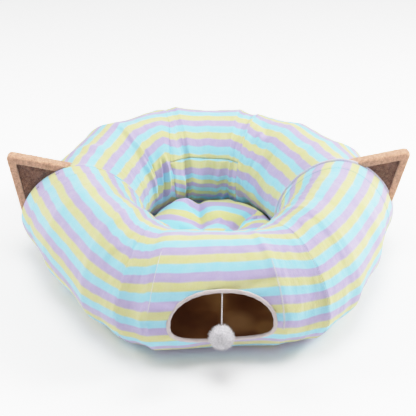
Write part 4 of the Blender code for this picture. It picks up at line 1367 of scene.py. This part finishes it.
def add_fur(made, count, seed, material):
    """Short soft fibres on a plush piece, joined to it."""
    roots, ways, random = mesh_samples(made, count, seed)
    ways = ways + np.array(FUR_LEAN) + random.normal(0, 0.35, ways.shape)
    ways /= np.linalg.norm(ways, axis=1)[:, None]
    lengths = FUR_LENGTH * (0.7 + 0.5 * random.random(count))
    bend = random.normal(0, 0.0006, ways.shape)
    roots = roots - ways * FUR_ROOT
    fur = strands(made.name + "_fibres", roots, ways, lengths, FUR_WIDTH, bend, material, segments=2)
    join(made, fur)


def join(made, *others):
    for other in bpy.context.selected_objects:
        other.select_set(False)
    for other in others:
        other.select_set(True)
    made.select_set(True)
    bpy.context.view_layer.objects.active = made
    bpy.ops.object.join()


def make_ear(ear, tan, dark):
    """A stuffed plush ear: a thick rounded border with a dark panel sewn into it."""
    rings = [ear_ring(ear, inset, EAR_ROUND, SEAM_GAP + depth) for inset, depth in EAR_PROFILE]
    shell_body = ring_body(f"{ear.name}_ear_plush", rings, tan)
    floor = SEAM_GAP + EAR_DEPTH - EAR_BACK
    corner, to_foot, to_top, rounded = ear_corner(ear, EAR_BORDER, EAR_RECESS_ROUND)
    outline = np.concatenate([[corner + to_top * 0.2, corner + to_foot * 0.2], rounded])
    cutter = ring_body("recess", [ear_point(ear, outline, depth) for depth in (-0.01, floor)], tan)
    cut_entrance(shell_body, cutter)
    bpy.data.objects.remove(cutter)
    soften(shell_body, 0.0016, 5)
    inner_rings = []
    for step in (0.0, EAR_PANEL_THICKNESS):
        depths = EAR_PANEL_DEPTH + step, EAR_PANEL_TIP_DEPTH + step
        inner_rings.append(ear_ring(ear, EAR_BORDER - EAR_PANEL_OVERLAP, EAR_RECESS_ROUND, *depths))
    inner = ring_body(f"{ear.name}_ear_panel", inner_rings, dark)
    for body, material, count, seed in ((shell_body, tan, 5000, 31), (inner, dark, 2300, 32)):
        body.data.materials.clear()
        body.data.materials.append(material)
        add_fur(body, count, seed, material)
    return shell_body, inner


# The mat

MAT_VOXEL = 0.0045
MAT_INSET = 0.0022
MAT_FREE_RISE, MAT_FREE_SIDE = 0.006, 0.001
MAT_STRIPE_SCALE = 0.75
MAT_FIRST_STRIPE = 0.031
MAT_SHIFT_PLACES = (-0.12, -0.08, -0.045, -0.02, 0.04, 0.08, 0.12)
MAT_SHIFTS = (0.018, 0.006, 0.004, 0.003, 0.0, -0.006, -0.016)
# The valley that parts the right lobe from the rest, and how the stripes lie on the lobe.
VALLEY_FOOT, VALLEY_TOP = (0.066, 0.024), (0.107, 0.081)
LOBE_SHIFT, LOBE_BEND, LOBE_REACH = -0.016, -0.028, 0.018
Lump = namedtuple("Lump", "x y reach height")
LUMPS = (
    Lump(-0.080, 0.122, 0.036, 0.018),
    Lump(-0.046, 0.126, 0.024, 0.008),
    Lump(0.100, 0.092, 0.030, -0.006),
    Lump(-0.082, 0.040, 0.034, 0.004),
    Lump(0.020, 0.060, 0.030, 0.004),
)
MAT_RETREAT, MAT_REST = 0.016, 0.0002
TUFT_REACH, CHANNEL_REACH = 0.007, 0.004
VALLEY_DEPTH, VALLEY_REACH = 0.008, 0.008
FRONT_VALLEY_X, FRONT_VALLEY_DEPTH, FRONT_VALLEY_REACH = -0.019, 0.005, 0.009
Tuft = namedtuple("Tuft", "x y channel")
TUFTS = (
    Tuft(-0.021, 0.033, 188),
    Tuft(0.063, 0.024, 127),
    Tuft(0.066, -0.054, 52),
    Tuft(-0.012, -0.082, -8),
    Tuft(-0.078, -0.030, -72),
)


def mesh_points(made):
    points = np.zeros(len(made.data.vertices) * 3)
    made.data.vertices.foreach_get("co", points)
    return points.reshape(-1, 3)


def set_mesh_points(made, points):
    made.data.vertices.foreach_set("co", points.reshape(-1))
    made.data.update()


def tuft_nearness(points):
    """One at a tuft or along its sewn valley, and nothing well away from them."""
    middle = np.array(BED_MIDDLE)
    near = np.zeros(len(points))
    for tuft in TUFTS:
        gap = points[:, :2] + middle - np.array([tuft.x, tuft.y])
        way = level_points(tuft.channel, 1.0)
        run = gap @ way
        aside = np.abs(gap[:, 0] * way[1] - gap[:, 1] * way[0])
        near = np.maximum(near, bell(np.linalg.norm(gap, axis=1), TUFT_REACH))
        near = np.maximum(near, np.where(run > 0, bell(aside, CHANNEL_REACH), 0))
    return near


def lobe_valley(points):
    """How far along the valley each point lies, as a share, and how far to its right."""
    foot, way = np.array(VALLEY_FOOT), np.subtract(VALLEY_TOP, VALLEY_FOOT)
    length = np.linalg.norm(way)
    way = way / length
    gap = points[:, :2] - foot
    return gap @ way / length, gap[:, 0] * way[1] - gap[:, 1] * way[0]


def plump_mat(made):
    """Fuller lobes, two drawn-in valleys, and a rear edge that stands off the wall."""
    points = mesh_points(made)
    upper = np.clip(points[:, 2] / 0.05, 0, 1) ** 2
    for lump in LUMPS:
        gap = np.linalg.norm(points[:, :2] - (lump.x, lump.y), axis=1)
        points[:, 2] += upper * lump.height * bell(gap, lump.reach)
    share, beside = lobe_valley(points)
    inside = np.clip(np.minimum(share + 0.3, 1.3 - share) / 0.3, 0, 1)
    points[:, 2] -= upper * VALLEY_DEPTH * inside * bell(beside, VALLEY_REACH)
    ahead = np.clip(np.minimum(points[:, 1] + 0.04, 0.13 - points[:, 1]) / 0.03, 0, 1)
    drawn_in = FRONT_VALLEY_DEPTH * bell(points[:, 0] - FRONT_VALLEY_X, FRONT_VALLEY_REACH)
    points[:, 2] -= upper * ahead * drawn_in
    radius = np.linalg.norm(points[:, :2], axis=1)
    rear = np.clip((points[:, 1] - 0.02) / 0.08, 0, 1) * np.clip((0.06 - points[:, 0]) / 0.05, 0, 1)
    retreat = MAT_RETREAT * rear * np.clip((radius - 0.11) / 0.05, 0, 1)
    points[:, :2] *= (1 - retreat / np.maximum(radius, 0.01))[:, None]
    points[:, 2] = np.maximum(points[:, 2], MAT_REST)
    set_mesh_points(made, points)


def make_mat(stripes):
    """The stuffed mat: the part's shape, filled out by a cloth simulation between its tufts and valleys."""
    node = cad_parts["nest_mat"]
    made = bpy.data.objects.new("mat_cloth", node.data.copy())
    bpy.context.scene.collection.objects.link(made)
    made.data.materials.clear()
    remesh = made.modifiers.new("even", "REMESH")
    remesh.mode, remesh.voxel_size, remesh.use_smooth_shade = "VOXEL", MAT_VOXEL, True
    smooth = made.modifiers.new("round", "SMOOTH")
    smooth.factor, smooth.iterations = 0.5, 3
    apply_modifiers(made)
    start = mesh_points(made)
    normals = np.zeros(len(start) * 3)
    made.data.vertices.foreach_get("normal", normals)
    start = start - normals.reshape(-1, 3) * MAT_INSET
    start[:, 2] = np.maximum(start[:, 2], MAT_REST)
    set_mesh_points(made, start)
    near = np.maximum(tuft_nearness(start) * (start[:, 2] > 0.02), start[:, 2] < 0.004)
    group = made.vertex_groups.new(name="sewn")
    for index in np.nonzero(near > 0.02)[0]:
        group.add([int(index)], float(min(1.0, near[index])), "REPLACE")
    cloth = made.modifiers.new("cloth", "CLOTH")
    cloth.settings.quality = 6
    cloth.settings.mass = 0.25
    cloth.settings.tension_stiffness = cloth.settings.compression_stiffness = 12
    cloth.settings.shear_stiffness = 4
    cloth.settings.bending_stiffness = 0.15
    cloth.settings.use_pressure = True
    cloth.settings.uniform_pressure_force = 4
    cloth.settings.shrink_min = -0.07
    cloth.settings.vertex_group_mass = "sewn"
    cloth.settings.effector_weights.gravity = 0
    cloth.collision_settings.use_collision = False
    scene = bpy.context.scene
    for number in range(1, 21):
        scene.frame_set(number)
    apply_modifiers(made)
    scene.frame_set(1)
    moved = mesh_points(made) - start
    length = np.linalg.norm(moved, axis=1)
    free = np.where(start[:, 2] > 0.050, MAT_FREE_RISE, MAT_FREE_SIDE)
    moved *= (free * np.tanh(length / free) / np.maximum(length, 1e-9))[:, None]
    set_mesh_points(made, start + moved)
    plump_mat(made)
    subdivide = made.modifiers.new("fine", "SUBSURF")
    subdivide.levels = subdivide.render_levels = 1
    apply_modifiers(made)
    made.vertex_groups.clear()
    points = mesh_points(made)
    shift = np.interp(points[:, 0], MAT_SHIFT_PLACES, MAT_SHIFTS)
    share, beside = lobe_valley(points)
    on_lobe = np.clip(share + 1, 0, 1) * (beside > 0)
    shift += on_lobe * (LOBE_SHIFT + LOBE_BEND * np.exp(-beside / LOBE_REACH) - shift)
    across = (points[:, 1] - shift - MAT_FIRST_STRIPE) * MAT_STRIPE_SCALE
    corners = np.zeros(len(made.data.loops), int)
    made.data.loops.foreach_get("vertex_index", corners)
    layer = made.data.uv_layers.new(name="cloth")
    layer.data.foreach_set("uv", np.stack([points[:, 0], across], -1)[corners].reshape(-1))
    made.data.polygons.foreach_set("use_smooth", [True] * len(made.data.polygons))
    made.data.materials.append(stripes)
    return made


# Stage


def set_film(view):
    """The camera's response curve."""
    view.view_transform = "Standard"
    view.use_curve_mapping = True
    mapping = view.curve_mapping
    mapping.white_level = (FILM_RANGE, FILM_RANGE, FILM_RANGE)
    marks = mapping.curves[3].points
    while len(marks) < len(FILM):
        marks.new(0.5, 0.5)
    for mark, (light, shown) in zip(marks, FILM):
        mark.location = (light / FILM_RANGE, shown)
    mapping.update()


def make_stage():
    scene = bpy.context.scene
    set_film(scene.view_settings)
    world = bpy.data.worlds.new("studio")
    world.use_nodes = True
    sky = world.node_tree
    way = sky.nodes.new("ShaderNodeTexCoord")
    parts = sky.nodes.new("ShaderNodeSeparateXYZ")
    fade = sky.nodes.new("ShaderNodeMapRange")
    sky.links.new(way.outputs["Generated"], parts.inputs[0])
    sky.links.new(parts.outputs[2], fade.inputs["Value"])
    fade.inputs["To Min"].default_value = SKY_LOW
    fade.inputs["To Max"].default_value = SKY_HIGH
    sky.links.new(fade.outputs[0], sky.nodes["Background"].inputs[1])
    sky.nodes["Background"].inputs[0].default_value = (1, 1, 1, 1)
    scene.world = world
    floor_mesh = bpy.data.meshes.new("floor")
    corners = [(x * FLOOR_SIZE, y * FLOOR_SIZE, 0) for x, y in ((-1, -1), (1, -1), (1, 1), (-1, 1))]
    floor_mesh.from_pydata(corners, [], [(0, 1, 2, 3)])
    floor = bpy.data.objects.new("floor", floor_mesh)
    floor.location.z = -FLOOR_DROP
    scene.collection.objects.link(floor)
    paper = Tree("paper", Roughness=0.9, Specular_IOR_Level=0.1)
    place = paper.add("TexCoord", output=3)
    away = paper.add("VectorMath", 1, {0: place, 1: (0, 0, 0)}, operation="DISTANCE")
    # The floor glows less near the bed's middle: a painted shadow on the floor round the bed.
    fading = {"Value": away, "From Min": SHADOWED_GLOW_START, "From Max": SHADOWED_GLOW_FULL, "To Max": FLOOR_GLOW}
    shadowed_glow = paper.add("MapRange", inputs=fading)
    paper.set(paper.shader, {"Base Color": (0.97, 0.97, 0.97, 1), "Emission Strength": shadowed_glow})
    floor_mesh.materials.append(paper.material)
    for lamp in LAMPS:
        add_light(lamp)
    camera = bpy.data.objects.new("camera", bpy.data.cameras.new("camera"))
    camera.data.lens = CAMERA_LENS_MM
    camera.data.sensor_width = 36
    camera.location = CAMERA_PLACE
    aim = Vector(CAMERA_TARGET) - Vector(CAMERA_PLACE)
    camera.rotation_euler = aim.to_track_quat("-Z", "Y").to_euler()
    scene.collection.objects.link(camera)
    scene.camera = camera


def add_light(lamp):
    data = bpy.data.lights.new(lamp.name, "AREA")
    data.shape = "DISK"
    data.size = lamp.size
    data.energy = lamp.power
    light = bpy.data.objects.new(lamp.name, data)
    light.location = lamp.place
    light.rotation_euler = (Vector(LAMPS_AIM) - Vector(lamp.place)).to_track_quat("-Z", "Y").to_euler()
    bpy.context.scene.collection.objects.link(light)


make_stage()
stripes = stripe_material("striped_cloth")
brown = lining_material()
tape = tape_material("binding_tape", (0.74, 0.66, 0.655))
yarn = tape_material("white_yarn", (0.88, 0.87, 0.88), 1600)
tan = plush_material("tan_plush", (0.54, 0.30, 0.20), (0.92, 0.61, 0.44))
dark = plush_material("dark_plush", (0.075, 0.028, 0.018), (0.46, 0.235, 0.160))

pompom_yarn = tape_material("pompom_yarn", (0.93, 0.91, 0.94), 1200, 300, 0.70)
pompom = ride(make_pompom(pompom_yarn), "white_yarn", "pompom")
cord, cord_route = make_string(yarn)
ride(cord, "white_yarn", "pompom_string")

front_left, front_centre, front_right = make_front_panels(stripes)
rear_right, rear_centre, rear_wall, rear_left = make_rear_panels(stripes)
right_band, left_band = make_join_bands(stripes, stripe_material("striped_cloth_pale", 0.5))
lining = make_lining(brown)
cutter = entrance_cutter()
cut_entrance(front_centre, cutter)
cut_entrance(lining, cutter)
bpy.data.objects.remove(cutter)
binding = make_binding(tape)
for piece, node in (
    (front_left, "front_left_panel"),
    (front_centre, "front_centre_panel"),
    (front_right, "front_right_panel"),
    (rear_right, "rear_right_panel"),
    (rear_centre, "rear_centre_panel"),
    (rear_wall, "rear_inner_wall_panel"),
    (rear_left, "rear_left_panel"),
    (right_band, "right_join_band"),
    (left_band, "left_join_band"),
):
    ride(piece, "striped_cloth", node)
ride(lining, "brown_lining", "tunnel_lining")
ride(binding, "binding_tape", "entrance_binding")
dark_thread = tape_material("dark_thread", (0.27, 0.22, 0.36))
make_threads(yarn, dark_thread, tape_material("teal_thread", (0.26, 0.62, 0.68)))
front, rear = (front_left, front_centre, front_right), (rear_right, rear_left, lining, rear_centre, rear_wall)
for piece in (*front, *rear, right_band, left_band):
    declare_sheet(piece)

for ear in EARS:
    plush, panel = make_ear(ear, tan, dark)
    ride(plush, "tan_plush", f"{ear.name}_ear_shell")
    ride(panel, "dark_plush", f"{ear.name}_ear_inner")
ride(make_mat(stripe_material("striped_cloth_mat", -0.13)), "striped_cloth", "nest_mat")
